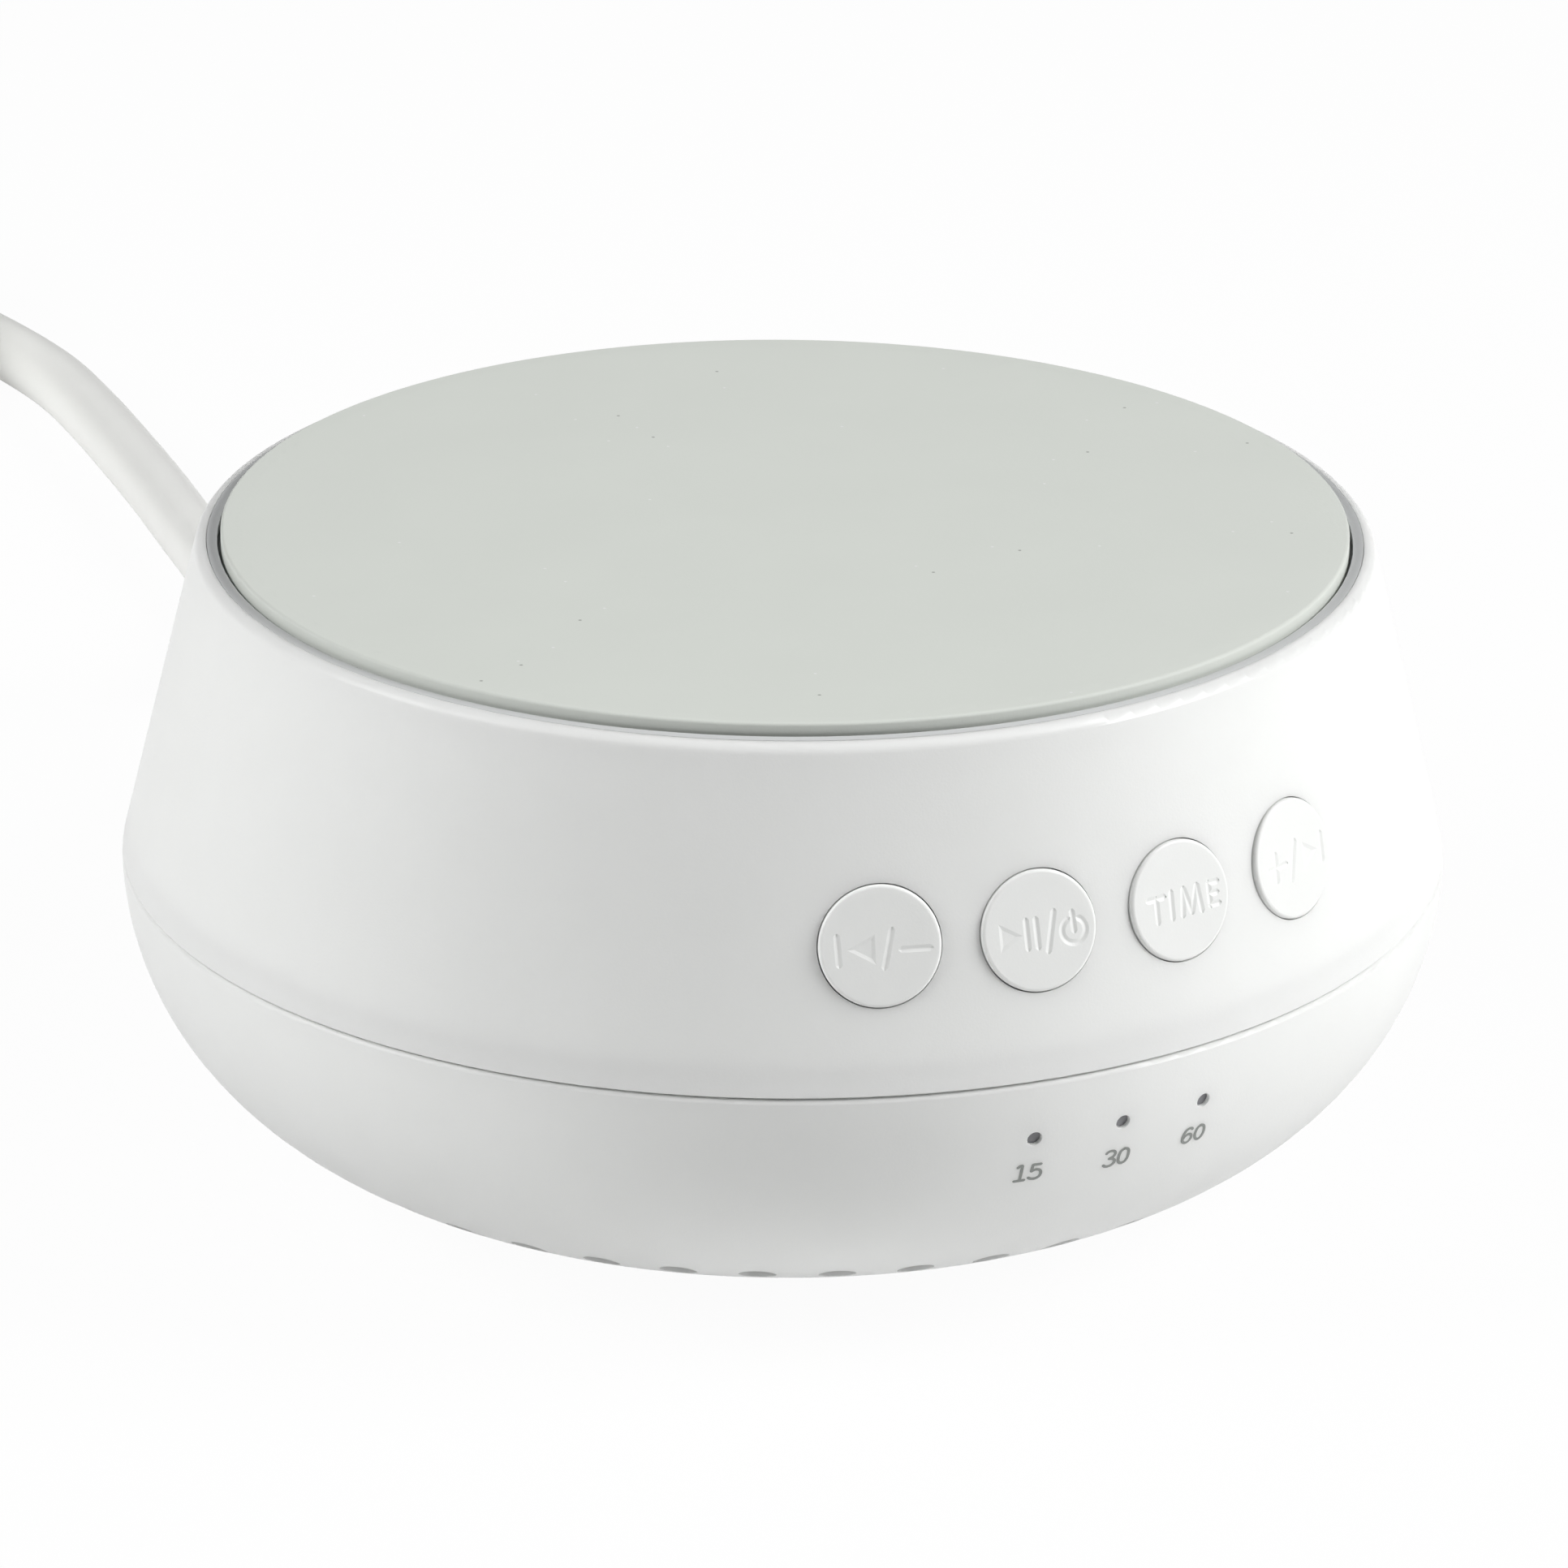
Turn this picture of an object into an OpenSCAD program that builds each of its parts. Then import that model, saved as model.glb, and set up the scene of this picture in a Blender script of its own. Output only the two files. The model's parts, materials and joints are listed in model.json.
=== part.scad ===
// White noise sound machine: a round two-shell case with a soft pad on top, four
// sprung push buttons in its sloping wall, three timer lights, a ring of sound holes
// and a loudspeaker that fires down into the base.
// Millimetres, +Z up, origin on the floor under the middle of the case, front at -Y.

/* [Case] */
// Widest diameter of the case, at the seam between the two shells
body_d = 110; // [106:1:120]
// Radius of the rounded flank of the lower shell
bowl_r = 23.8; // [23:0.2:27]
// Height of the sloping upper shell, from the seam to its rim
upper_h = 26.8; // [26:0.2:32]
// Lean of the upper shell's wall from upright, in degrees
wall_tilt = 14; // [10:0.5:15]
// Wall thickness of both shells
wall = 2.2; // [1.8:0.1:2.6]
// Rounding of the upper shell's top edge
rim_round = 1; // [0.5:0.1:1.4]
// Width of the white rim that is left round the tray
rim_land = 0.8; // [0.5:0.1:1.6]
// Width of the open line at the seam
seam_gap = 0.15; // [0.1:0.05:0.6]
// Rounding of the two edges at the seam
seam_round = 0.35; // [0.1:0.05:0.6]
// Height of the lower shell's tongue inside the upper shell
tongue_h = 2; // [1.4:0.1:3]
// Thickness of the flat deck under the tray
deck_t = 2; // [1.6:0.1:2.4]

/* [Tray and pad] */
// Width of the tray's rim that shows round the pad
tray_rim = 0.85; // [0.6:0.05:2]
// Thickness of the tray's floor
tray_floor = 1; // [0.8:0.1:1.4]
// Thickness of the soft pad
pad_t = 2.4; // [2:0.1:2.8]
// Height of the pad above the tray's rim
pad_proud = 1; // [0.4:0.1:1.6]
// Rounding of the pad's top edge
pad_round = 0.4; // [0.2:0.1:1.2]
// Open line between the pad and the tray's rim
pad_gap = 0.3; // [0.05:0.05:0.5]

/* [Buttons] */
// Diameter of a button's cap
button_d = 9.6; // [9:0.1:10]
// Open line round a cap
button_gap = 0.1; // [0.1:0.05:0.3]
// Height of the buttons' centres above the seam, to the wall's outside
button_up = 11.55; // [11:0.05:12.5]
// Turn from one button to the next, in degrees
button_pitch = 14.05; // [13.9:0.05:15]
// Height of a cap above the wall
button_proud = 0.2; // [0.1:0.05:0.8]
// Rounding of a cap's edge
button_round = 0.3; // [0.2:0.05:0.7]
// How far a button goes in
button_travel = 0.5; // [0.3:0.05:0.6]
// Diameter of the flange that keeps a cap behind the wall
flange_d = 11.4; // [11:0.1:11.6]

/* [Timer lights] */
// Diameter of a light hole
light_d = 1.25; // [1:0.05:1.6]
// Height of the light holes below the seam
light_drop = 4.95; // [4.7:0.05:5.6]
// Turn from one light hole to the next, in degrees
light_pitch = 8.15; // [7.5:0.05:8.5]
// How far a window's nose lies back in its hole
light_recess = 0.3; // [0.2:0.05:0.8]

/* [Sound holes] */
// Number of sound holes round the lower shell
hole_count = 44; // [36:1:50]
// Turn of the first sound hole from the front, in degrees
hole_turn = 1.1; // [0:0.1:4]
// Diameter of a sound hole
hole_d = 3; // [2:0.1:3.2]
// How far round the flank the sound holes lie below the seam, in degrees
hole_lean = 56.7; // [55.5:0.1:57.5]

/* [Feet] */
// Height of the case's underside above the floor
foot_h = 2.8; // [1:0.1:3]
// Diameter of a foot
foot_d = 10; // [8:0.5:12]
// Depth of a foot's seat in the underside
foot_seat = 0.8; // [0.5:0.1:1]

/* [Speaker] */
// Diameter of the loudspeaker's flange
speaker_d = 57; // [56:0.5:58]
// Height of the baffle's underside above the case's underside
baffle_up = 9.2; // [8.8:0.1:9.6]
// Thickness of the baffle
baffle_t = 2; // [1.6:0.1:2.2]
// Thickness of the soft ring under the flange
gasket_t = 1; // [0.8:0.1:1.4]
// Outer diameter of the magnet
magnet_d = 40; // [36:1:42]
// Thickness of the magnet
magnet_t = 5.5; // [5:0.5:6]
// Diameter of the pole that the coil moves on
pole_d = 18; // [17:0.5:18.5]
// How far the cone moves each way
cone_travel = 1; // [0.5:0.1:1.2]

/* [Main board] */
// Distance from the case's widest edge in to the main board's edge
board_inset = 18; // [17.5:0.25:19]
// Thickness of the main board
board_t = 1.6; // [1:0.1:1.8]
// Length of the posts that hold the board under the deck
board_post_h = 4; // [3.8:0.1:4.4]

/* [Cord] */
// Diameter of the cord
cord_d = 6.4; // [5.8:0.1:6.8]
// Height of the cord's way out below the seam
cord_drop = 7; // [6.6:0.1:7.6]
// Length of the strain relief outside the case
relief_len = 26; // [20:1:30]
// Mean radius of the coil
coil_r = 38; // [36:1:42]
// Thickness of the tie round the coil
tie_t = 0.8; // [0.6:0.1:1]

/* [Hidden] */

$fn = 72;
fit = 0.05;         // gap on the radius between pieces that are fitted together
eps = 0.5;          // overshoot of a cut

// Heights of the case
base_z = foot_h;
seam_z = base_z + bowl_r;
rim_z = seam_z + upper_h;
body_r = body_d / 2;
flat_r = body_r - bowl_r;
tilt_run = tan(wall_tilt);
rim_r = body_r - upper_h * tilt_run;
recess_r = rim_r - rim_land;

// Tray and pad
pad_z = rim_z + pad_proud - pad_t;
deck_z = pad_z - tray_floor;
deck_under = deck_z - deck_t;
tray_r = recess_r - fit;
pad_r = tray_r - tray_rim - pad_gap;
peg_d = 4;
peg_ring = recess_r - 7.5;
peg_turns = [0, 90, 180, 270];

// Buttons, measured inward along a button's own axis from the wall's outside
button_turns = [for (i = [-1.5:1:1.5]) i * button_pitch];
button_z = seam_z + button_up;
seat_depth = wall - 0.2;
flange_top = seat_depth + 0.1;
flange_t = 0.8;
stem_d = 3.2;
stem_end = flange_top + flange_t + 1.6;
plunger_d = 3.4;
plunger_out = button_travel + 0.4;
plunger_in = 1;
switch_top = stem_end + plunger_out;
switch_w = 6;
switch_h = 2.5;
key_top = switch_top + switch_h;
key_t = 1;
bracket_top = key_top + key_t;
bracket_t = 2;
bracket_turns = [-2.5 * button_pitch, 2.5 * button_pitch];
key_low = -5.5;
key_high = 6.5;
bracket_low = -7;
bracket_high = 5;
pin_room_d = 4;

// Posts that join the shells
post_turns = [55, 125, 235, 305];
post_ring = body_r - 17;
post_d = 8;
post_meet = seam_z - 4;
case_screw_d = 3;
case_head_d = 5.8;
case_head_h = 2;
case_head_z = base_z + 5;
case_screw_len = 26;

// Speaker, measured up from the face of its flange
baffle_z = base_z + baffle_up;
speaker_z = baffle_z + baffle_t + gasket_t;
speaker_r = speaker_d / 2;
flange_up = 1.2;
land_r = speaker_r - 1.3;
land_t = 0.4;
roll_r = 1.5;
roll_mid = land_r - 2.2 - roll_r;
cone_edge = roll_mid - roll_r;
opening_r = land_r - 1.6;
basket_h = 13;
basket_t = 1;
coil_in = pole_d / 2 + 0.4;
cone_h = 8;
neck_h = 0.9;
former_r = coil_in + 0.4;
coil_out = former_r + 0.3;
gap_bore = coil_out + 0.4;
magnet_r = magnet_d / 2;
plate_r = magnet_r - 1;
plate_t = 2.5;
spider_up = 8.8;
spider_r = magnet_r + 0.4;
spider_ledge = spider_r - 1.8;
skin_t = 0.4;
ear_turns = [0, 90, 180, 270];
ear_ring = speaker_r + 2.6;
ear_r = 3;
small_screw_d = 2.2;
small_head_d = 4.4;
small_head_h = 1.6;
small_bite = 4;     // how far a small screw goes into its post
pilot_r = small_screw_d / 2 + fit;
pilot_h = small_bite + 0.6;
pass_r = small_screw_d / 2 + 0.15;
foot_turns = [45, 135, 225, 315];
foot_ring = flat_r - foot_d / 2 - 3;
baffle_post_turns = [25, 155, 205, 335];
baffle_post_ring = body_r - 15;
baffle_post_d = 6;

// Soldering lugs on the speaker: distance out, distance to each side, height
lug = [speaker_r - 0.2, 2.2, speaker_z + flange_up + 4.4];

// Main board
board_r = body_r - board_inset;
board_top = deck_under - board_post_h;
board_under = board_top - board_t;
board_post_turns = [30, 150, 210, 330];
board_post_d = 6;
board_post_ring = board_r - board_post_d;
wire_d = 1.4;
socket_h = 4;
socket_depth = 5;
socket_low = board_under - socket_h;
socket_at = board_r - 1;
part_ring = (magnet_r + board_r) / 2;   // middle of the room between magnet and board edge
capacitor_d = 8;
capacitor_h = 11;
capacitor_turns = [96.5, 117, 250];
facet_w = 24;

// Timer lights, with the front face of each flat piece as a distance in front of the middle
light_z = seam_z - light_drop;
light_lean = asin(light_drop / bowl_r);
pipe_in = 5.2;
pipe_z = light_z + pipe_in * sin(light_lean);
pipe_y = flat_r + bowl_r * cos(light_lean) - pipe_in + 0.3;
pipe_t = 1.6;
pipe_h = 4.4;
led_t = 1.8;
led_y = pipe_y - pipe_t - 0.1;
led_board_y = led_y - led_t;
led_board_t = 1;
led_board_h = 8;
led_half_w = 11.5;
led_rib_t = 2.8;

// Cord's way out
cord_z = seam_z - cord_drop;
collar_y = body_r;
collar_in = collar_y - 5;
collar_r = 5.8;
relief_neck_d = 8.4;
relief_flange_d = 11;
relief_flange_t = 1.5;
relief_catch_t = 1.2;
relief_root_d = 9.6;
relief_tip_d = cord_d + 1.2;
relief_end = collar_y + relief_len;
clamp_in = collar_in - 10;
clamp_y = collar_in - 5.5;
clamp_w = 4;
clamp_t = 3;
clamp_post_x = 7;
clamp_post_d = 5;
shelf_t = 1.6;
wire_side = 1.8;

// Cord's route over the floor, then round the coil, then to the plug
cord_r = cord_d / 2;
cord_route = [[0, relief_end, cord_z], [0, 87, cord_z], [0.9, 94.2, 18.6], [2.4, 101, 15.8],
    [4, 106.8, 11.4], [5.6, 112.6, 7], [7.6, 119.4, 4.2], [9.7, 126.6, 3.2], [11.6, 134, 3.2],
    [13.2, 142, 3.2], [14.7, 150, 3.2], [17, 162, 3.2], [19, 174, 3.2], [20.8, 186, 3.2],
    [22, 198, 3.2], [21.6, 210, 3.2], [20, 222, 3.3], [17.8, 235, 3.7], [15.4, 247, 4]];
cord_rings = [for (p = cord_route) [p[0], p[1], max(p[2], cord_r + 0.01)]];
coil_at = [-28, 238, 0];
coil_columns = 3;
coil_layers = 2;
coil_end_turn = 170;
tail_len = 30;
tie_turn = 60;
tie_span = 8;
tail_start = coil_at + (coil_r + cord_d) * [cos(coil_end_turn), sin(coil_end_turn), 0]
    + [0, 0, tie_t + 1.5 * cord_d];
tail_dir = [-sin(coil_end_turn), cos(coil_end_turn), 0];
plug_neck = 14;
plug_len = 30;
plug_w = 25;
plug_h = 2 * tail_start[2];
blade_w = 6.35;
blade_t = 1.5;
blade_len = 17;
blade_pitch = 12.7;

// Colours
WHITE = [0.95, 0.95, 0.94];
PAD = [0.81, 0.82, 0.79];
BLUE_GREY = [0.72, 0.76, 0.8];
SMOKE = [0.25, 0.25, 0.27];
BOARD = [0.16, 0.42, 0.28];
STEEL = [0.75, 0.76, 0.78];
FERRITE = [0.2, 0.2, 0.21];
RUBBER = [0.3, 0.3, 0.31];

// Radius of the upper wall's outside at a height
function wall_r(z) = body_r - (z - seam_z) * tilt_run;
// Radius of the lower shell at a height, for its outside or, with the wall, its inside
function bowl_at(z, inset = 0) = flat_r + sqrt(pow(bowl_r - inset, 2) - pow(seam_z - z, 2));
function unit(v) = v / norm(v);

// Children stand on the sloping wall, with +Z along the outward normal
module on_wall(turn, z = button_z) {
    rotate([0, 0, turn]) translate([0, -wall_r(z), z]) rotate([90 - wall_tilt, 0, 0]) children();
}

// Children stand on the rounded flank, at a height below the seam
module on_bowl(turn, drop) {
    rotate([0, 0, turn]) translate([0, -flat_r, seam_z]) rotate([90 + asin(drop / bowl_r), 0, 0])
        translate([0, 0, bowl_r]) children();
}

// Children stand on a ring of places round the middle
module around(turns, ring) {
    for (turn = turns) rotate([0, 0, turn]) translate([0, -ring, 0]) children();
}

// Half section of a disc with a rounded top edge
module rounded_half(r, low, high, edge) {
    translate([0, low]) square([r - edge, high - low]);
    translate([0, low]) square([r, high - low - edge]);
    translate([r - edge, high - edge]) circle(edge);
}

// Screw with its head on z = 0 and its shank pointing down
module screw(d, len, head_d, head_h) {
    difference() {
        union() {
            translate([0, 0, -len]) cylinder(d = d, h = len);
            rotate_extrude() rounded_half(head_d / 2, 0, head_h, head_h * 0.4);
        }
        for (turn = [0, 90]) rotate([0, 0, turn])
            translate([-head_d * 0.3, -head_d * 0.06, head_h * 0.45])
                cube([head_d * 0.6, head_d * 0.12, head_h]);
    }
}

// Tube swept through a list of points, with one ring at each
module tube(points, d, sides, up = [0, 0, 1]) {
    last = len(points) - 1;
    rings = [for (i = [0:last])
        let (along = unit(points[min(i + 1, last)] - points[max(i - 1, 0)]),
            side = unit(cross(along, up)),
            rise = cross(side, along))
        for (k = [0:sides - 1])
            points[i] + d / 2 * (cos(360 * k / sides) * side + sin(360 * k / sides) * rise)];
    walls = [for (i = [0:last - 1], k = [0:sides - 1])
        let (a = i * sides + k, b = i * sides + (k + 1) % sides)
        each [[a, b, b + sides], [a, b + sides, a + sides]]];
    ends = [[for (k = [sides - 1:-1:0]) k], [for (k = [0:sides - 1]) last * sides + k]];
    polyhedron(rings, concat(walls, ends));
}

// Half section of everything inside the lower shell's surface, set in by a wall
module bowl_half(inset) {
    translate([0, base_z + inset]) square([flat_r, bowl_r - inset + eps]);
    translate([flat_r, seam_z]) intersection() {
        circle(bowl_r - inset);
        translate([-flat_r, -bowl_r]) square([body_r, bowl_r + eps]);
    }
}

module bowl_solid() {
    rotate_extrude() intersection() {
        bowl_half(0.4);
        square([body_r, seam_z - 1]);
    }
}

module upper_shell() {
    corner_z = rim_z - rim_round;
    corner_r = rim_r + rim_round * tilt_run - rim_round / cos(wall_tilt);
    low = seam_z + seam_gap / 2;
    rotate_extrude() difference() {
        intersection() {
            union() {
                polygon([[0, low], [wall_r(low), low],
                    [corner_r + rim_round * cos(wall_tilt), corner_z + rim_round * sin(wall_tilt)],
                    [corner_r, rim_z], [0, rim_z]]);
                translate([corner_r, corner_z]) circle(rim_round);
            }
            union() {
                translate([0, low]) square([body_r - seam_round, upper_h]);
                translate([0, low + seam_round]) square([body_r, upper_h]);
                translate([body_r - seam_round, low + seam_round]) circle(seam_round);
            }
        }
        polygon([[0, low - eps], [wall_r(low) - wall, low - eps],
            [wall_r(deck_under) - wall, deck_under], [0, deck_under]]);
        translate([0, low - eps]) square([body_r - wall / 2 + fit, seam_z + tongue_h - low + eps]);
        translate([0, deck_z]) square([recess_r, upper_h]);
    }
}

module upper_housing() {
    rib_in = wall_r(deck_under) - wall - 5;
    rib_t = 1.2;
    color(WHITE) difference() {
        union() {
            difference() {
                upper_shell();
                for (turn = button_turns) on_wall(turn)
                    translate([0, 0, -seat_depth - 4]) cylinder(d = flange_d + 0.8, h = 4);
            }
            for (turn = bracket_turns) on_wall(turn)
                translate([0, 0, -bracket_top]) cylinder(d = 5.6, h = bracket_top - wall / 2);
            around(post_turns, post_ring)
                translate([0, 0, post_meet]) cylinder(d = post_d - 1, h = deck_under - post_meet + eps);
            around(board_post_turns, board_post_ring)
                translate([0, 0, board_top]) cylinder(d = board_post_d, h = board_post_h + eps);
            for (turn = [15:30:345]) rotate([0, 0, turn]) intersection() {
                translate([-rib_t / 2, -body_r, 0]) cube([rib_t, body_r - rib_in, deck_under + eps]);
                rotate_extrude() polygon([[rib_in, deck_under + eps], [rib_in, deck_under - 1],
                    [wall_r(deck_under - 4) - wall / 2, deck_under - 4],
                    [wall_r(deck_under) - wall / 2, deck_under + eps]]);
            }
        }
        for (turn = button_turns) on_wall(turn)
            translate([0, 0, -seat_depth - eps]) cylinder(d = button_d + 2 * button_gap, h = wall + 3);
        for (turn = bracket_turns) on_wall(turn)
            translate([0, 0, -bracket_top - eps]) cylinder(r = pilot_r, h = pilot_h + eps);
        around(post_turns, post_ring) translate([0, 0, post_meet - eps])
            cylinder(r = case_screw_d / 2 + fit, h = case_head_z + case_screw_len - post_meet + 1 + eps);
        around(board_post_turns, board_post_ring)
            translate([0, 0, board_top - eps]) cylinder(r = pilot_r, h = pilot_h + eps);
        around(peg_turns, peg_ring)
            translate([0, 0, deck_under - eps]) cylinder(r = peg_d / 2 + fit, h = deck_t + 2 * eps);
    }
}

module lower_shell() {
    high = seam_z - seam_gap / 2;
    rotate_extrude() {
        difference() {
            intersection() {
                bowl_half(0);
                union() {
                    square([body_r - seam_round, high]);
                    square([body_r, high - seam_round]);
                    translate([body_r - seam_round, high - seam_round]) circle(seam_round);
                }
            }
            bowl_half(wall);
        }
        translate([body_r - wall, seam_z - 2]) square([wall / 2 - fit, tongue_h + 2]);
    }
}

// Ribs with two upright slots each, for the window bar and the light board
module led_ribs() {
    low = pipe_z - led_board_h / 2;
    for (side = [0, 1]) mirror([side, 0, 0]) difference() {
        translate([led_half_w - 0.9, -body_r, low - 2])
            cube([led_rib_t, body_r - led_board_y + led_board_t + 1.2, led_board_h]);
        translate([0, -led_board_y - fit, low]) cube([led_half_w + fit, led_board_t + 2 * fit, 20]);
        translate([0, -pipe_y - fit, pipe_z - pipe_h / 2])
            cube([led_half_w + fit, pipe_t + 2 * fit, 20]);
    }
}

// Collar, shelf and posts that hold the cord and its clamp
module cord_seat() {
    half = clamp_post_x + clamp_post_d / 2;
    translate([-half, clamp_y - clamp_post_d / 2, cord_z - cord_r - shelf_t])
        cube([2 * half, clamp_post_d + wall + 2, shelf_t]);
    for (side = [-1, 1]) translate([side * clamp_post_x, clamp_y, cord_z - cord_r - shelf_t])
        cylinder(d = clamp_post_d, h = shelf_t + cord_d);
}

module lower_housing() {
    color(WHITE) difference() {
        union() {
            lower_shell();
            intersection() {
                bowl_solid();
                union() {
                    around(post_turns, post_ring) cylinder(d = post_d, h = post_meet);
                    around(baffle_post_turns, baffle_post_ring) cylinder(d = baffle_post_d, h = baffle_z);
                    led_ribs();
                    cord_seat();
                }
            }
            translate([0, collar_y, cord_z]) rotate([90, 0, 0])
                cylinder(r = collar_r, h = collar_y - collar_in);
        }
        for (i = [0:hole_count - 1]) on_bowl(hole_turn + i * 360 / hole_count, bowl_r * sin(hole_lean))
            translate([0, 0, -wall - 0.4]) cylinder(d = hole_d, h = wall + 2.2);
        for (i = [-1:1]) on_bowl(i * light_pitch, light_drop)
            translate([0, 0, -wall - 1]) cylinder(d = light_d, h = wall + 3);
        around(post_turns, post_ring) {
            cylinder(r = case_screw_d / 2 + 0.2, h = post_meet + eps);
            cylinder(r = case_head_d / 2 + 0.2, h = case_head_z);
        }
        around(baffle_post_turns, baffle_post_ring)
            translate([0, 0, baffle_z - pilot_h]) cylinder(r = pilot_r, h = pilot_h + eps);
        around(foot_turns, foot_ring)
            translate([0, 0, base_z - eps]) cylinder(r = foot_d / 2 + fit, h = foot_seat + eps);
        translate([0, collar_y + eps, cord_z]) rotate([90, 0, 0])
            cylinder(r = relief_neck_d / 2 + fit, h = collar_y - collar_in + 2 * eps);
        for (side = [-1, 1]) translate([side * clamp_post_x, clamp_y, cord_z + cord_r - pilot_h])
            cylinder(r = pilot_r, h = pilot_h + eps);
    }
}

module top_carrier() {
    color(BLUE_GREY) {
        rotate_extrude() difference() {
            translate([0, deck_z]) square([tray_r, rim_z - deck_z]);
            translate([0, pad_z]) square([tray_r - tray_rim, upper_h]);
        }
        around(peg_turns, peg_ring)
            translate([0, 0, deck_under - 0.6]) cylinder(d = peg_d, h = deck_t + 0.6 + tray_floor / 2);
    }
}

module top_pad() {
    color(PAD) rotate_extrude() rounded_half(pad_r, pad_z, pad_z + pad_t, pad_round);
}

// One cap, hollow behind its face, with its flange and its stem
module button(turn) {
    color(WHITE) on_wall(turn) rotate_extrude() {
        difference() {
            union() {
                rounded_half(button_d / 2, -flange_top - flange_t, button_proud, button_round);
                translate([0, -flange_top - flange_t]) square([flange_d / 2, flange_t]);
            }
            translate([0, -flange_top - flange_t - 1]) square([button_d / 2 - 1, flange_t + 2]);
        }
        translate([0, -stem_end]) square([stem_d / 2, stem_end - 1]);
    }
}

module plunger(turn) {
    color("black") on_wall(turn) translate([0, 0, -switch_top - plunger_in])
        cylinder(d = plunger_d, h = plunger_out + plunger_in);
}

module previous_button() { button(button_turns[0]); }
module play_power_button() { button(button_turns[1]); }
module timer_button() { button(button_turns[2]); }
module next_button() { button(button_turns[3]); }
module previous_plunger() { plunger(button_turns[0]); }
module play_power_plunger() { plunger(button_turns[1]); }
module timer_plunger() { plunger(button_turns[2]); }
module next_plunger() { plunger(button_turns[3]); }

module tact_switches() {
    color(STEEL) for (turn = button_turns) on_wall(turn) difference() {
        translate([-switch_w / 2, -switch_w / 2, -key_top]) cube([switch_w, switch_w, switch_h]);
        translate([0, 0, -switch_top - plunger_in - button_travel - 0.2])
            cylinder(r = plunger_d / 2 + fit, h = plunger_in + button_travel + 0.2 + eps);
    }
}

// Flat strips side by side, one square to each button's axis and cut off half way to the next
module facets(turns, top, thick, low, high) {
    half = button_pitch / 2 + 0.01;
    for (turn = turns) intersection() {
        on_wall(turn) translate([-facet_w / 2, low, -top - thick]) cube([facet_w, high - low, thick]);
        rotate([0, 0, turn - 90]) linear_extrude(rim_z)
            polygon([[0, 0], 2 * body_r * [cos(half), sin(half)], 2 * body_r * [cos(half), -sin(half)]]);
    }
}

module key_board() {
    color(BOARD) facets(button_turns, key_top, key_t, key_low, key_high);
}

module key_bracket() {
    color(WHITE) difference() {
        facets(concat(bracket_turns, button_turns), bracket_top, bracket_t, bracket_low, bracket_high);
        for (turn = bracket_turns) on_wall(turn)
            translate([0, 0, -bracket_top - bracket_t - eps])
                cylinder(r = pass_r, h = bracket_t + 2 * eps);
        for (turn = button_turns) on_wall(turn)
            translate([0, 0, -bracket_top - bracket_t - eps])
                cylinder(d = pin_room_d, h = bracket_t + 2 * eps);
    }
}

module bracket_screws() {
    color(STEEL) for (turn = bracket_turns) on_wall(turn)
        translate([0, 0, -bracket_top - bracket_t]) mirror([0, 0, 1])
            screw(small_screw_d, bracket_t + small_bite, small_head_d, small_head_h);
}

// Bar behind the wall, with a nose for each light hole
module timer_light_pipe() {
    color(SMOKE) {
        translate([-led_half_w, -pipe_y, pipe_z - pipe_h / 2]) cube([2 * led_half_w, pipe_t, pipe_h]);
        for (i = [-1:1]) on_bowl(i * light_pitch, light_drop) {
            translate([0, 0, -pipe_in]) cylinder(r = light_d / 2 - fit, h = pipe_in - light_recess);
            translate([0, 0, -pipe_in]) cylinder(d = 2.6, h = pipe_in - wall - 0.3);
        }
    }
}

module timer_leds() {
    color("white") for (i = [-1:1])
        translate([led_y * tan(i * light_pitch) - 1.6, -led_y, pipe_z - 1.4]) cube([3.2, led_t, 2.8]);
}

module led_board() {
    color(BOARD) translate([-led_half_w, -led_board_y, pipe_z - led_board_h / 2])
        cube([2 * led_half_w, led_board_t, led_board_h]);
}

module speaker_baffle() {
    baffle_r = bowl_at(baffle_z, wall) - 0.4;
    top = baffle_z + baffle_t;
    color(WHITE) difference() {
        union() {
            translate([0, 0, baffle_z]) cylinder(r = baffle_r, h = baffle_t);
            difference() {
                translate([0, 0, top - eps]) cylinder(r = speaker_r + 1.7, h = gasket_t + 1 + eps);
                translate([0, 0, baffle_z]) cylinder(r = speaker_r + 0.3, h = speaker_z);
                around(ear_turns, ear_ring) cylinder(r = ear_r + 1.2, h = 2 * speaker_z);
            }
            around(ear_turns, ear_ring) translate([0, 0, top - eps]) cylinder(r = 2.6, h = gasket_t + eps);
        }
        translate([0, 0, baffle_z - eps]) cylinder(r = opening_r, h = baffle_t + 2 * eps);
        around(post_turns, post_ring) cylinder(r = post_d / 2 + 0.3, h = top + 1);
        around(baffle_post_turns, baffle_post_ring) cylinder(r = pass_r, h = top + 1);
        around(ear_turns, ear_ring) cylinder(r = pilot_r, h = speaker_z + eps);
    }
}

module baffle_screws() {
    color(STEEL) around(baffle_post_turns, baffle_post_ring) translate([0, 0, baffle_z + baffle_t])
        screw(small_screw_d, baffle_t + small_bite, small_head_d, small_head_h);
}

module speaker_gasket() {
    color(RUBBER) translate([0, 0, baffle_z + baffle_t]) difference() {
        cylinder(r = speaker_r - 0.2, h = gasket_t);
        translate([0, 0, -eps]) cylinder(r = opening_r + 0.2, h = gasket_t + 2 * eps);
    }
}

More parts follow.
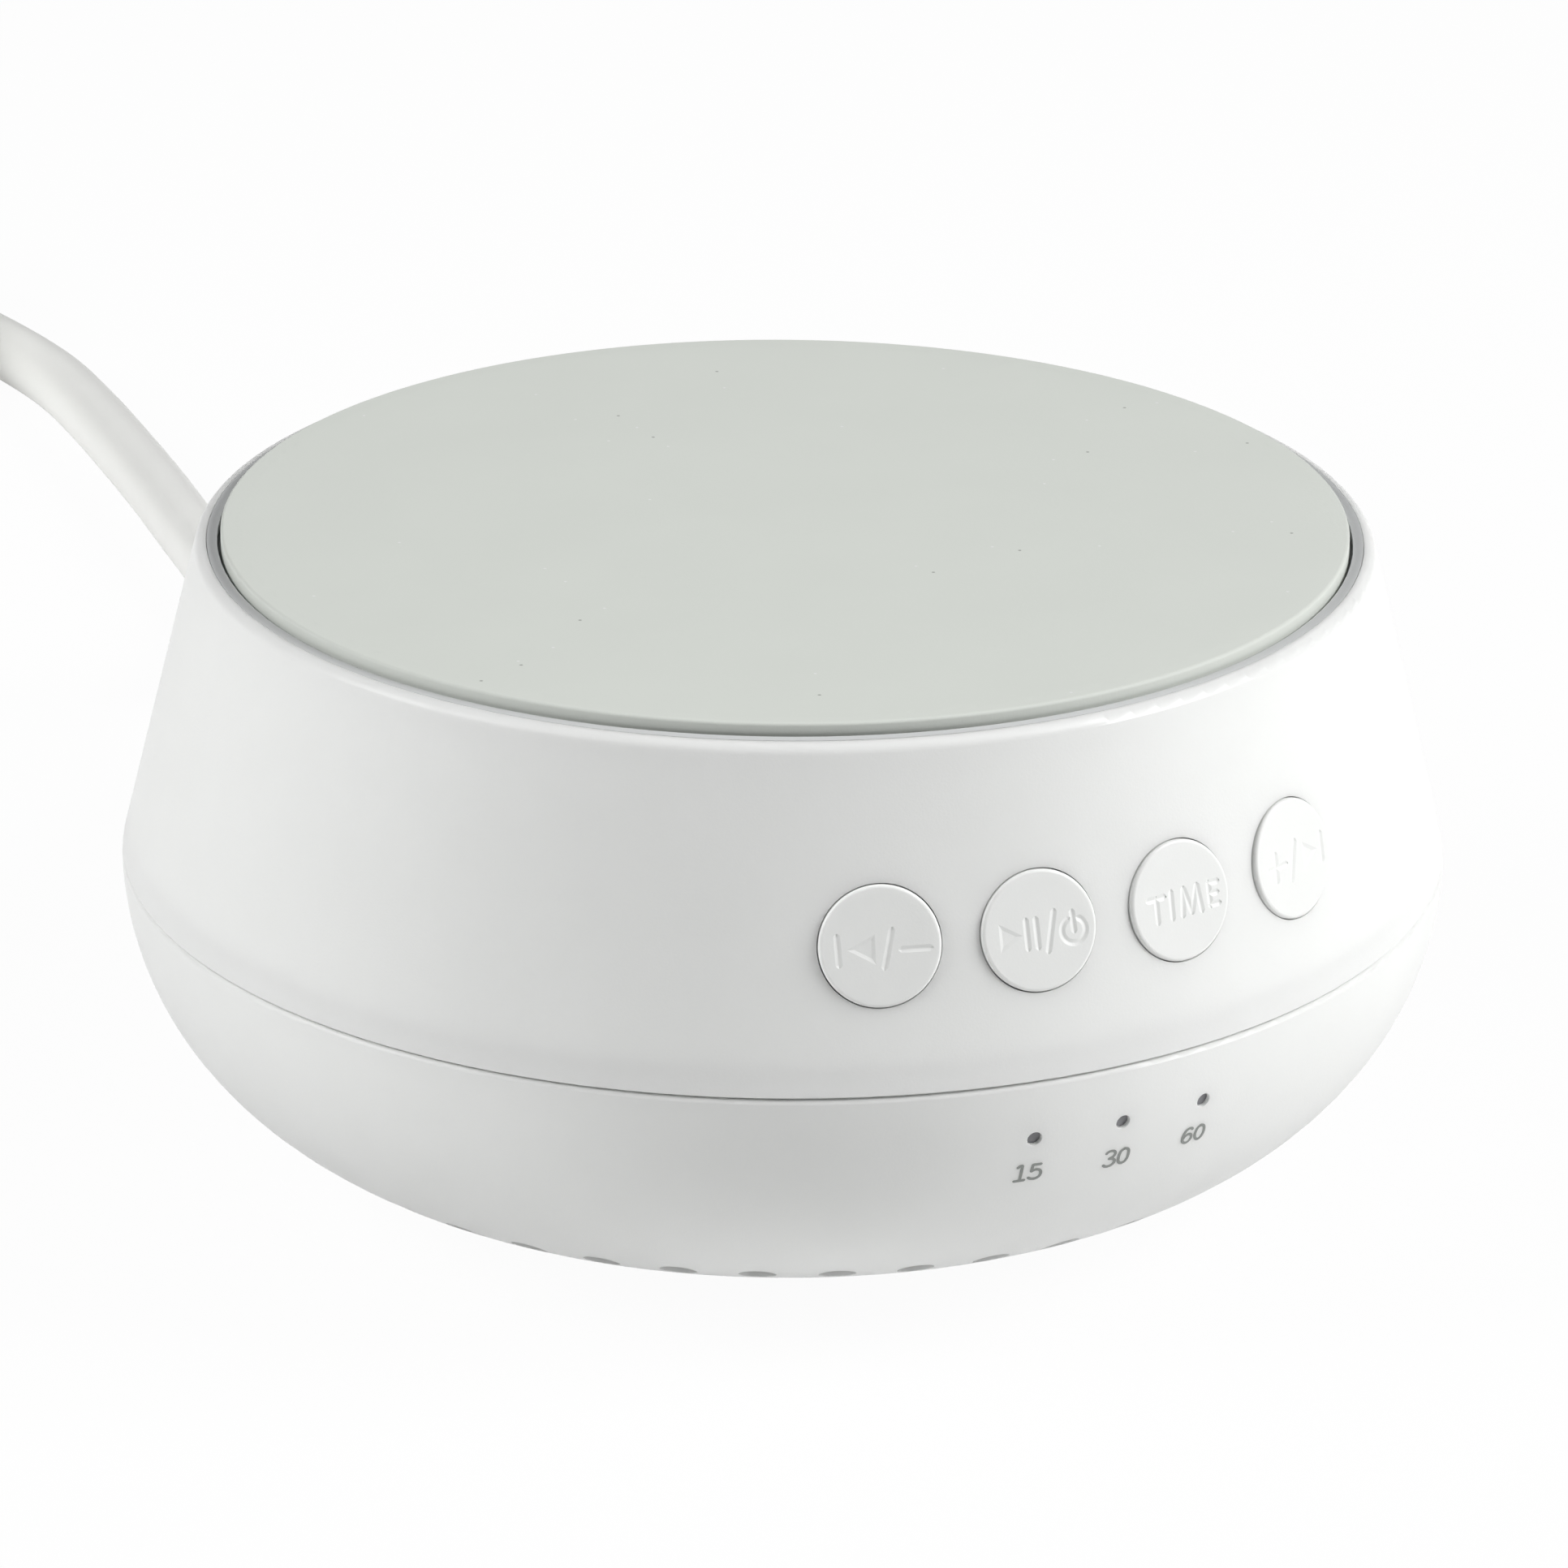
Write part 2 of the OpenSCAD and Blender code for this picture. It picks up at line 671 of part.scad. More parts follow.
// Pressed steel basket, with four ears and four windows
module speaker_frame() {
    wall_in = speaker_r - 2.3;
    plate_edge = plate_r + 0.6;
    window_turn = 62;
    color(STEEL) translate([0, 0, speaker_z]) difference() {
        union() {
            cylinder(r = speaker_r, h = flange_up);
            around(ear_turns, ear_ring) cylinder(r = ear_r, h = flange_up);
            around(ear_turns, speaker_r - 1) translate([-ear_r, -3.6, 0]) cube([2 * ear_r, 5, flange_up]);
            rotate_extrude() polygon([[wall_in, flange_up - 0.1], [wall_in + basket_t, flange_up - 0.1],
                [plate_edge + basket_t, basket_h], [gap_bore + 0.5, basket_h],
                [gap_bore + 0.5, basket_h - basket_t], [plate_edge, basket_h - basket_t]]);
            rotate_extrude() polygon([[spider_ledge, spider_up], [wall_in - 2, spider_up],
                [wall_in - 2.2, spider_up + 0.6], [spider_ledge, spider_up + 0.6]]);
        }
        translate([0, 0, -eps]) cylinder(r = land_r, h = land_t + eps);
        translate([0, 0, -eps]) cylinder(r = opening_r - 0.4, h = flange_up + 0.2 + eps);
        around(ear_turns, ear_ring)
            translate([0, 0, -eps]) cylinder(r = pass_r, h = flange_up + 2 * eps);
        for (turn = ear_turns) rotate([0, 0, turn + 45 - window_turn / 2]) rotate_extrude(angle = window_turn)
            translate([spider_r, flange_up + 1.2]) square([12, spider_up - flange_up - 2.4]);
    }
}

module speaker_screws() {
    color(STEEL) around(ear_turns, ear_ring) translate([0, 0, speaker_z + flange_up])
        screw(small_screw_d, flange_up + gasket_t + baffle_t - 0.2, small_head_d, small_head_h);
}

// Flat ring, for the plates and the magnet
module ring(low, thick, outer, inner) {
    translate([0, 0, speaker_z + low]) difference() {
        cylinder(r = outer, h = thick);
        translate([0, 0, -eps]) cylinder(r = inner, h = thick + 2 * eps);
    }
}

module speaker_top_plate() { color(STEEL) ring(basket_h, plate_t, plate_r, gap_bore); }
module speaker_magnet() { color(FERRITE) ring(basket_h + plate_t, magnet_t, magnet_r, gap_bore + 1.5); }

module speaker_yoke() {
    color(STEEL) {
        ring(basket_h + plate_t + magnet_t, plate_t, plate_r, 2);
        ring(basket_h, plate_t + magnet_t, pole_d / 2, 2);
    }
}

// Paper cone: flat edge, sloping wall and a short neck on the coil's former
module speaker_cone() {
    color(FERRITE) translate([0, 0, speaker_z]) rotate_extrude()
        polygon([[cone_edge, 0.6], [cone_edge, 1], [cone_edge - 0.9, 1],
            [former_r + 0.5, cone_h - skin_t], [former_r + 0.5, cone_h], [former_r + fit, cone_h],
            [former_r + fit, cone_h - neck_h], [cone_edge - 1.1, 0.6]]);
}

module dust_cap() {
    cap_r = former_r + 1.2;
    cap_h = 3;
    ball = (cap_r * cap_r + cap_h * cap_h) / (2 * cap_h);
    color(FERRITE) translate([0, 0, speaker_z + 6.3]) rotate_extrude() intersection() {
        translate([0, ball - cap_h]) difference() {
            circle(ball);
            circle(ball - skin_t);
        }
        translate([0, -cap_h]) square([cap_r, cap_h]);
    }
}

module voice_coil() {
    color("chocolate") {
        ring(6.6, basket_h - 3.4, former_r, coil_in);
        ring(basket_h - cone_travel / 2, plate_t + cone_travel, coil_out, former_r - 0.1);
    }
}

// Rubber half roll between the cone's edge and the basket's flange
module cone_surround() {
    color(RUBBER) translate([0, 0, speaker_z]) rotate_extrude() {
        translate([roll_mid, 0.2]) intersection() {
            difference() {
                circle(roll_r + skin_t / 2);
                circle(roll_r - skin_t / 2);
            }
            translate([-5, -5]) square([10, 5]);
        }
        translate([cone_edge - 0.8, 0.15]) square([1, skin_t]);
        translate([roll_mid + roll_r - skin_t / 2, 0])
            square([land_r - fit - roll_mid - roll_r, skin_t]);
    }
}

// Corrugated cloth disc that centres the coil
module cone_spider() {
    folds = 4;
    inner = former_r + fit;
    step = (spider_ledge - inner) / folds;
    line = [for (i = [0:2 * folds]) [inner + i * step / 2, (i % 2) * 0.8]];
    color("goldenrod") translate([0, 0, speaker_z + spider_up - skin_t - fit]) rotate_extrude() {
        polygon(concat(line, [for (i = [2 * folds:-1:0]) line[i] + [0, skin_t]]));
        translate([spider_ledge - fit, 0]) square([spider_r - spider_ledge, skin_t]);
    }
}

// Strip with two soldering lugs on the basket's side
module speaker_terminals() {
    color("peru") rotate([0, 0, 270]) translate([-4, -lug[0], speaker_z + flange_up]) difference() {
        cube([8, 1, 6]);
        for (x = [1.8, 6.2]) translate([x, -eps, 4.4]) rotate([-90, 0, 0]) cylinder(d = 1.2, h = 2);
    }
}

module main_board() {
    color(BOARD) translate([0, 0, board_under]) difference() {
        cylinder(r = board_r, h = board_t);
        around(post_turns, post_ring)
            translate([0, 0, -eps]) cylinder(r = post_d / 2 + 0.6, h = board_t + 2 * eps);
        around(board_post_turns, board_post_ring)
            translate([0, 0, -eps]) cylinder(r = pass_r, h = board_t + 2 * eps);
    }
}

module board_screws() {
    color(STEEL) around(board_post_turns, board_post_ring) translate([0, 0, board_under]) mirror([0, 0, 1])
        screw(small_screw_d, board_t + small_bite, small_head_d, small_head_h);
}

// Ferrite core with its winding between the two legs
module transformer() {
    color("khaki") translate([0, part_ring - wire_d, board_under - 10]) {
        difference() {
            translate([-6.5, -3, 0]) cube([13, 6, 10]);
            translate([-4.5, -4, 2]) cube([9, 8, 6]);
        }
        translate([-4.5, -4.2, 2]) cube([9, 8.4, 6]);
    }
}

module capacitors() {
    color("navy") around(capacitor_turns, part_ring)
        translate([0, 0, board_under - capacitor_h]) cylinder(d = capacitor_d, h = capacitor_h);
}

module board_chips() {
    color("black") for (c = [[-12, -6, 10, 6, 1.6], [6, -4, 7, 7, 1.2], [2, 10, 5, 4, 1.4]])
        translate([c[0], c[1], board_under - c[4]]) cube([c[2], c[3], c[4]]);
}

// Socket at the board's edge, from a distance to the side
module socket(turn, from, wide) {
    rotate([0, 0, turn]) translate([from, -socket_at, socket_low]) cube([wide, socket_depth, socket_h]);
}

module board_connectors() {
    color("ivory") {
        socket(button_turns[1], -5, 10);
        socket(0, 4, 6);
        socket(270, -4, 8);
    }
}

module case_screws() {
    color(STEEL) around(post_turns, post_ring) translate([0, 0, case_head_z]) mirror([0, 0, 1])
        screw(case_screw_d, case_screw_len, case_head_d, case_head_h);
}

module rubber_feet() {
    color(RUBBER) around(foot_turns, foot_ring) mirror([0, 0, 1])
        rotate_extrude() translate([0, -foot_h - foot_seat])
            rounded_half(foot_d / 2, 0, foot_h + foot_seat, 0.6);
}

// Moulded bush: inner catch, neck through the collar, flange and a grooved taper
module strain_relief() {
    grooves = 6;
    start = collar_y + relief_flange_t;
    taper = relief_end - start;
    color(WHITE) translate([0, 0, cord_z]) rotate([-90, 0, 0]) difference() {
        union() {
            translate([0, 0, collar_in - relief_catch_t])
                cylinder(d = relief_neck_d + 1.6, h = relief_catch_t);
            translate([0, 0, collar_in - relief_catch_t])
                cylinder(d = relief_neck_d, h = collar_y - collar_in + relief_catch_t + 1);
            translate([0, 0, collar_y]) cylinder(d = relief_flange_d, h = relief_flange_t);
            translate([0, 0, start]) cylinder(d1 = relief_root_d, d2 = relief_tip_d, h = taper);
        }
        translate([-collar_r, cord_r - fit, collar_in - relief_catch_t - eps])
            cube([2 * collar_r, collar_r, relief_catch_t + eps]);
        for (i = [1:grooves]) translate([0, 0, start + i * taper / (grooves + 1)]) difference() {
            cylinder(d = relief_flange_d, h = 1.2);
            translate([0, 0, -1]) cylinder(d = cord_d + 0.6, h = 4);
        }
    }
}

module cord_inner_end() {
    color(WHITE) translate([0, clamp_in, cord_z]) rotate([-90, 0, 0])
        cylinder(d = cord_d, h = collar_in - relief_catch_t - clamp_in);
}

module cord_clamp() {
    half = clamp_post_x + clamp_post_d / 2;
    color("gainsboro") difference() {
        translate([-half, clamp_y - clamp_w / 2, cord_z + cord_r]) cube([2 * half, clamp_w, clamp_t]);
        for (side = [-1, 1]) translate([side * clamp_post_x, clamp_y, cord_z])
            cylinder(r = pass_r, h = cord_r + clamp_t + eps);
    }
}

module clamp_screws() {
    color(STEEL) for (side = [-1, 1]) translate([side * clamp_post_x, clamp_y, cord_z + cord_r + clamp_t])
        screw(small_screw_d, clamp_t + small_bite, small_head_d, small_head_h);
}

module power_cord() { color(WHITE) tube(cord_rings, cord_d, 10); }

// Half section of the bundle of turns, grown by a skin
module bundle(skin) {
    wide = coil_columns * cord_d;
    high = coil_layers * cord_d;
    for (x = [cord_r, wide - cord_r], y = [cord_r, high - cord_r])
        translate([coil_r - wide / 2 + x, tie_t + y]) circle(cord_r + skin);
    translate([coil_r - wide / 2 - skin, tie_t + cord_r]) square([wide + 2 * skin, high - cord_d]);
    translate([coil_r - wide / 2 + cord_r, tie_t - skin]) square([wide - cord_d, high + 2 * skin]);
}

module cord_coil() { color(WHITE) translate(coil_at) rotate_extrude() bundle(0); }

module cord_tie() {
    color("black") translate(coil_at) rotate([0, 0, tie_turn]) rotate_extrude(angle = tie_span) difference() {
        bundle(tie_t);
        bundle(fit);
    }
}

module cord_tail() {
    color(WHITE) tube([for (s = [0:tail_len / 3:tail_len]) tail_start + s * tail_dir], cord_d, 10);
}

// Children point along the plug, from where the cord goes in
module at_plug() {
    translate(tail_start + tail_len * tail_dir) rotate([90, 0, coil_end_turn - 180]) children();
}

module plug_body() {
    color(WHITE) at_plug() {
        cylinder(d1 = cord_d + 1.4, d2 = plug_h - 6, h = plug_neck + 0.5);
        hull() {
            for (x = [-1, 1], y = [-1, 1]) {
                translate([x * (plug_w / 2 - 6), y * (plug_h / 2 - 5), plug_neck])
                    cylinder(r = 3, h = 1, $fn = 24);
                translate([x * (plug_w / 2 - 4), y * (plug_h / 2 - 4), plug_neck + 8])
                    cylinder(r = 4, h = plug_len - 8, $fn = 24);
            }
        }
    }
}

module plug_blades() {
    color("gold") at_plug() for (side = [-1, 1]) difference() {
        translate([side * blade_pitch / 2 - blade_t / 2, -blade_w / 2, plug_neck + plug_len])
            cube([blade_t, blade_w, blade_len]);
        translate([side * blade_pitch / 2 - blade_t, 0, plug_neck + plug_len + blade_len - 4])
            rotate([0, 90, 0]) cylinder(d = 3, h = 2 * blade_t);
    }
}

module speaker_leads() {
    plug_in = socket_at - socket_depth / 2;
    color("red") for (side = [-1, 1])
        tube([[-lug[0], side * lug[1], lug[2]], [-lug[0] - 1.6, side * lug[1], lug[2]],
            [-lug[0] - 3.4, side * lug[1], lug[2] + 1.4],
            [-lug[0] - 4.6, side * lug[1], lug[2] + 4], [-lug[0] - 5.2, side * lug[1], lug[2] + 10],
            [-plug_in, side * lug[1], socket_low - 3], [-plug_in, side * lug[1], socket_low]],
            wire_d, 8, [0, 1, 0]);
}

module mains_leads() {
    color("saddlebrown") for (side = [-1, 1])
        tube([[side * wire_side, clamp_in, cord_z], [side * wire_side, clamp_in - wire_d, cord_z],
            [side * wire_side, clamp_in - 2 * wire_d, cord_z + 3],
            [side * wire_side, clamp_in - 2.4 * wire_d, cord_z + 10],
            [side * wire_side, board_r - wire_d, board_under - 3],
            [side * wire_side, board_r - wire_d, board_under]],
            wire_d, 8, [1, 0, 0]);
}

// Flat cable, bent in the upright plane through a list of points
module ribbon(points, x, w) {
    thick = 0.4;
    last = len(points) - 1;
    sides = [for (i = [0:last]) let (d = unit(points[min(i + 1, last)] - points[max(i - 1, 0)]))
        thick / 2 * [-d[1], d[0]]];
    color("silver") translate([x, 0, 0]) rotate([90, 0, 90]) linear_extrude(w)
        polygon(concat([for (i = [0:last]) points[i] + sides[i]],
            [for (i = [last:-1:0]) points[i] - sides[i]]));
}

module key_ribbon() {
    up = key_high - 0.8;
    start = wall_r(button_z) - (bracket_top + 0.1) * cos(wall_tilt) - up * sin(wall_tilt);
    start_z = button_z - (bracket_top + 0.1) * sin(wall_tilt) + up * cos(wall_tilt);
    end_z = socket_low + socket_h / 2;
    rotate([0, 0, button_turns[1]])
        ribbon([[-start, start_z], [-start + 1.2, start_z], [-(start + socket_at) / 2, (start_z + end_z) / 2],
            [-socket_at - 1.2, end_z], [-socket_at, end_z]], -4, 8);
}

module led_ribbon() {
    start = -led_board_y + led_board_t;
    plug_in = socket_at - socket_depth / 2;
    ribbon([[start, pipe_z], [start + 2, pipe_z], [start + 4, pipe_z + 1],
        [-plug_in - 1, pipe_z + 6], [-plug_in, socket_low - 3], [-plug_in, socket_low]],
        5, 4);
}

upper_housing();
lower_housing();
top_carrier();
top_pad();
previous_button();
play_power_button();
timer_button();
next_button();
previous_plunger();
play_power_plunger();
timer_plunger();
next_plunger();
tact_switches();
key_board();
key_bracket();
bracket_screws();
timer_light_pipe();
timer_leds();
led_board();
speaker_baffle();
baffle_screws();
speaker_gasket();
speaker_frame();
speaker_screws();
speaker_top_plate();
speaker_magnet();
speaker_yoke();
speaker_cone();
dust_cap();
voice_coil();
cone_surround();
cone_spider();
speaker_terminals();
main_board();
board_screws();
transformer();
capacitors();
board_chips();
board_connectors();
case_screws();
rubber_feet();
strain_relief();
cord_inner_end();
cord_clamp();
clamp_screws();
power_cord();
cord_coil();
cord_tail();
cord_tie();
plug_body();
plug_blades();
speaker_leads();
mains_leads();
key_ribbon();
led_ribbon();
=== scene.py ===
"""Bedside sound machine: the finishes, soft pad, lead, grooved marks and printed numbers
that go round its fixed frame, and a small studio. Metres, front at -Y, floor at z = 0."""

import json
from functools import partial
from math import asin, cos, degrees, pi, radians, sin, tan

import bmesh
import bpy
from bpy.props import FloatProperty, FloatVectorProperty, IntProperty, PointerProperty
from bpy.types import Operator, Panel, PropertyGroup
from mathutils import Matrix, Vector


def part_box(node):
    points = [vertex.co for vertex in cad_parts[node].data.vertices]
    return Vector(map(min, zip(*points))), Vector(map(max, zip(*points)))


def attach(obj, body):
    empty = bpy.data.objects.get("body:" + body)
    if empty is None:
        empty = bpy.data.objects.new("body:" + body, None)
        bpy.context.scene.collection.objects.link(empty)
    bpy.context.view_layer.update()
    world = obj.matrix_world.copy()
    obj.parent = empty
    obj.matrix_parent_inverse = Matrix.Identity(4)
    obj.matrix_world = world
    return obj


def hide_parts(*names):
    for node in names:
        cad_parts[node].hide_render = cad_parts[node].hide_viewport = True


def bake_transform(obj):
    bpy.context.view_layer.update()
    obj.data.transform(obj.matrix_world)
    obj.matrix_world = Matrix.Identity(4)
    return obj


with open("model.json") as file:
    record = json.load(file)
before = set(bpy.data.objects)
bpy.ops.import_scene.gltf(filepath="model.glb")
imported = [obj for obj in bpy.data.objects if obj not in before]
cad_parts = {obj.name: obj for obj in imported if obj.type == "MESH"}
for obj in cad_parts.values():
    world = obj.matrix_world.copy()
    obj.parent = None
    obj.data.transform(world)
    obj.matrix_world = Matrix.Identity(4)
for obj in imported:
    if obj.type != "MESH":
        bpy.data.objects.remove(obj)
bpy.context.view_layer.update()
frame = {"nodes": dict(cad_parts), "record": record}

bl_info = {
    "name": "Bedside Sound Machine",
    "version": (1, 0, 0),
    "blender": (4, 5, 0),
    "location": "View3D > Sidebar > Sound Machine",
    "description": "Dresses the sound machine's frame with finishes, pad, lead, marks and studio",
    "category": "Add Mesh",
}

MM = 0.001
NODES = frame["nodes"]
SLOT_OF = {part["node"]: part["material_slot"] for part in frame["record"]["subparts"]}
SLOT_COLOUR = {m["slot"]: m["base_color"] for m in frame["record"]["materials"]}
KEYS = ("previous_key", "play_power_key", "timer_key", "next_key")


# ---------------------------------------------------------------------------
# Sizes and colours
# ---------------------------------------------------------------------------

def distance(name, description, millimetres):
    """A length property, given in millimetres."""
    return FloatProperty(name=name, description=description, default=millimetres * MM,
                         min=0, precision=5, unit="LENGTH", subtype="DISTANCE")


def angle(name, description, turn):
    """An angle property, given in degrees."""
    return FloatProperty(name=name, description=description, default=radians(turn),
                         subtype="ANGLE", unit="ROTATION")


def number(name, description, value):
    """A plain number property."""
    return FloatProperty(name=name, description=description, default=value, precision=6)


def colour(name, description, rgb):
    """A linear colour property."""
    return FloatVectorProperty(name=name, description=description, default=rgb, size=3,
                               min=0, max=1, subtype="COLOR")


class CaseSizes(PropertyGroup):
    """Sizes of the two shells, as the frame has them."""
    body_radius: distance("Widest radius", "Radius of the case at its seam", 55)
    bowl_radius: distance("Flank radius", "Rounding of the lower shell's flank", 23.8)
    seam_height: distance("Seam height", "Height of the seam above the floor", 26.6)
    button_height: distance("Button height", "Height of the button centres on the wall", 38.15)
    cap_proud: distance("Cap height", "Height of a cap's face above the wall", 0.2)
    light_drop: distance("Light drop", "Height of the timer lights below the seam", 4.95)
    shell: colour("Shell colour", "White of the shells and caps", (0.893, 0.903, 0.888))
    tray: colour("Tray colour", "Cool grey of the tray's rim", (0.61, 0.62, 0.625))
    window: colour("Window colour", "Smoky plastic of the light windows", (0.17, 0.17, 0.18))
    wall_tilt: angle("Wall lean", "Lean of the upper wall from upright", 14)
    button_pitch: angle("Button pitch", "Turn from one button to the next", 14.05)
    light_pitch: angle("Light pitch", "Turn from one light to the next", 8.15)


class PadSizes(PropertyGroup):
    """Shape of the soft pad on top."""
    edge_round: distance("Edge rounding", "Rounding of the pad's top edge", 0.28)
    dish: distance("Dish", "How far the middle of the pad lies below its edge", 0.12)
    colour: colour("Pad colour", "Silicone of the pad", (0.68, 0.708, 0.665))


class MarkSizes(PropertyGroup):
    """Grooved marks on the caps and printed numbers by the lights."""
    groove: distance("Groove width", "Width of a groove in a cap's face", 0.56)
    depth: distance("Groove depth", "Depth of a groove in a cap's face", 0.085)
    line: distance("Number line", "Width of the lines of the printed numbers", 0.25)
    ink_height: distance("Ink height", "Thickness of the printed numbers", 0.02)
    ink_drop: distance("Number drop", "How far the numbers lie below their drawn places", 0.05)
    ink: colour("Ink", "Grey of the printed numbers", (0.29, 0.305, 0.29))


class LoudspeakerSizes(PropertyGroup):
    """Radii between which the loudspeaker's suspension flexes."""
    cone_edge: distance("Cone edge", "Radius of the cone's glued edge", 22.2)
    roll_edge: distance("Roll edge", "Radius where the rubber roll meets the basket", 24.8)
    coil_edge: distance("Coil edge", "Radius where the spider is glued to the coil", 10.8)
    spider_edge: distance("Spider edge", "Radius where the spider meets the basket", 18.5)


class LeadSizes(PropertyGroup):
    """The mains lead, its coil and its plug."""
    thickness: distance("Lead thickness", "Diameter of the round two-core lead", 6.4)
    coil_radius: distance("Coil radius", "Mean radius of the coil", 38)
    tie: distance("Tie thickness", "Thickness of the tie under the coil", 0.8)
    tail: distance("Tail", "Straight lead from the coil to the plug", 30)
    first_turn: angle("Coil start", "Where the lead meets the coil", 12)
    last_turn: angle("Coil end", "Where the lead leaves the coil, after all its turns", 1970)
    steps: IntProperty(name="Steps a turn", description="Points in each turn of the coil",
                       default=72, min=12)
    colour: colour("Lead colour", "Soft plastic of the lead", (0.93, 0.935, 0.905))


class StudioSettings(PropertyGroup):
    """Camera, lamps and floor."""
    lens: number("Lens", "Focal length in millimetres", 175.86)
    sensor: number("Sensor", "Width of the sensor in millimetres", 36)
    shift_x: number("Shift across", "Sideways shift of the picture", 0.000466)
    shift_y: number("Shift up", "Upward shift of the picture", -0.005745)
    camera_distance: distance("Camera distance", "From the camera to the middle of the case", 638)
    target_height: distance("Target height", "Height that the camera looks at", 31.65)
    azimuth: angle("Azimuth", "Turn of the camera from the front", -29.38)
    elevation: angle("Elevation", "Height angle of the camera", 21.745)
    roll: angle("Roll", "Small tilt of the camera", 0.436)
    right_power: number("Right lamp", "Power of the right softbox in watts", 9.9)
    right_azimuth: angle("Right lamp's azimuth", "Turn from the front", 52)
    left_power: number("Left lamp", "Power of the left softbox in watts", 7.1)
    left_azimuth: angle("Left lamp's azimuth", "Turn from the front", -104)
    lamp_elevation: angle("Lamp elevation", "Height angle of both side lamps", 35)
    top_power: number("Top lamp", "Power of the softbox overhead in watts", 0.5)
    top_elevation: angle("Top lamp's elevation", "Height angle of the softbox overhead", 88)
    lamp_distance: distance("Lamp distance", "From a lamp to the case", 1000)
    lamp_size: distance("Lamp size", "Side of a square softbox", 500)
    sky: number("Sky", "Strength of the even light from all round", 0.01)
    floor_size: distance("Floor size", "Side of the floor's square sheet", 6000)
    floor_gap: distance("Floor gap", "How far the sheet lies below the feet", 0.1)
    floor: colour("Floor", "Colour of the floor's paper", (0.82, 0.82, 0.82))
    floor_glow: number("Floor glow", "Share of plain white in the floor that the camera sees", 0.96)


def sizes(group):
    """One of the scene's property groups."""
    return getattr(bpy.context.scene, "sound_machine_" + group)


# ---------------------------------------------------------------------------
# Finishes
# ---------------------------------------------------------------------------

def feed(tree, socket, value):
    """Links a node's input to another node's output, or sets its value."""
    if isinstance(value, bpy.types.NodeSocket):
        tree.links.new(value, socket)
    else:
        socket.default_value = value


def arithmetic(tree, operation, first, second):
    """One Math node, as the socket of its result."""
    made = tree.nodes.new("ShaderNodeMath")
    made.operation = operation
    feed(tree, made.inputs[0], first)
    feed(tree, made.inputs[1], second)
    return made.outputs[0]


def shaded(rgb, factor, lift=0.0):
    """A colour made darker or lighter."""
    return tuple(min(1, c * factor + lift) for c in rgb)


class Finish:
    """A material under construction: a Principled shader and the textures that feed it."""

    def __init__(self, name, rgb, roughness, metallic=0.0, coat=0.0, specular=0.5):
        self.material = bpy.data.materials.new(name)
        self.material.use_nodes = True
        self.material.diffuse_color = (*rgb, 1)
        self.rgb = rgb
        self.tree = self.material.node_tree
        self.shader = next(n for n in self.tree.nodes if n.type == "BSDF_PRINCIPLED")
        self.set(Base_Color=(*rgb, 1), Roughness=roughness, Metallic=metallic,
                 Coat_Weight=coat, Specular_IOR_Level=specular)
        self.place = self.node("ShaderNodeTexCoord").outputs["Object"]

    def set(self, **inputs):
        """Sets or links named inputs of the shader."""
        for key, value in inputs.items():
            feed(self.tree, self.shader.inputs[key.replace("_", " ")], value)

    def node(self, kind, **inputs):
        """Adds a node, with values or sockets for its named inputs."""
        made = self.tree.nodes.new(kind)
        for key, value in inputs.items():
            feed(self.tree, made.inputs[key.replace("_", " ")], value)
        return made

    def noise(self, scale, detail=3, stretch=None):
        """Noise with that many features in a metre, optionally stretched along the axes."""
        place = self.place
        if stretch:
            place = self.node("ShaderNodeMapping", Vector=place, Scale=stretch).outputs[0]
        return self.node("ShaderNodeTexNoise", Vector=place, Scale=scale, Detail=detail).outputs[0]

    def waves(self, pitch, axis):
        """Bands across an axis, a pitch in millimetres apart."""
        made = self.node("ShaderNodeTexWave", Vector=self.place, Scale=pi / 10 / (pitch * MM))
        made.bands_direction = axis
        return made.outputs["Fac"]

    def between(self, value, low, high, to_low=0.0, to_high=1.0):
        """Maps a value from one range to another, clamped."""
        return self.node("ShaderNodeMapRange", Value=value, From_Min=low, From_Max=high,
                         To_Min=to_low, To_Max=to_high).outputs[0]

    def mix(self, amount, first, second):
        """Mixes two colours."""
        made = self.tree.nodes.new("ShaderNodeMix")
        made.data_type = "RGBA"
        for socket, value in zip((made.inputs[0], made.inputs[6], made.inputs[7]),
                                 (amount, first, second)):
            feed(self.tree, socket, (*value, 1) if isinstance(value, tuple) else value)
        return made.outputs[2]

    def relief(self, height, depth, strength=1.0):
        """Adds a fine relief of that depth in millimetres, over any there is already."""
        bump = self.node("ShaderNodeBump", Height=height, Distance=depth * MM, Strength=strength)
        normal = self.shader.inputs["Normal"]
        if normal.is_linked:
            self.tree.links.new(normal.links[0].from_socket, bump.inputs["Normal"])
        self.tree.links.new(bump.outputs[0], normal)

    def paint(self, amount, low, high):
        """Mixes two colours for the surface."""
        shade = self.mix(amount, low, high)
        self.set(Base_Color=shade)
        return shade

    def mottle(self, scale, spread):
        """Paints slow, slight changes of shade."""
        cloud = self.between(self.noise(scale, 4), 0.3, 0.7)
        return self.paint(cloud, shaded(self.rgb, 1 - spread), shaded(self.rgb, 1 + spread))

    def sheen_of_use(self, scale, low, high):
        """Lets the gloss drift between two roughnesses."""
        self.set(Roughness=self.between(self.noise(scale, 5), 0.3, 0.7, low, high))


def moulded(name, rgb, rough, grain=0.012, coat=0.0):
    """Moulded plastic: a spark-eroded grain, a faint mottle and a drifting gloss."""
    finish = Finish(name, rgb, rough, coat=coat)
    finish.mottle(60, 0.012)
    finish.sheen_of_use(180, rough - 0.05, rough + 0.05)
    finish.relief(finish.noise(5200, 2), grain)
    return finish


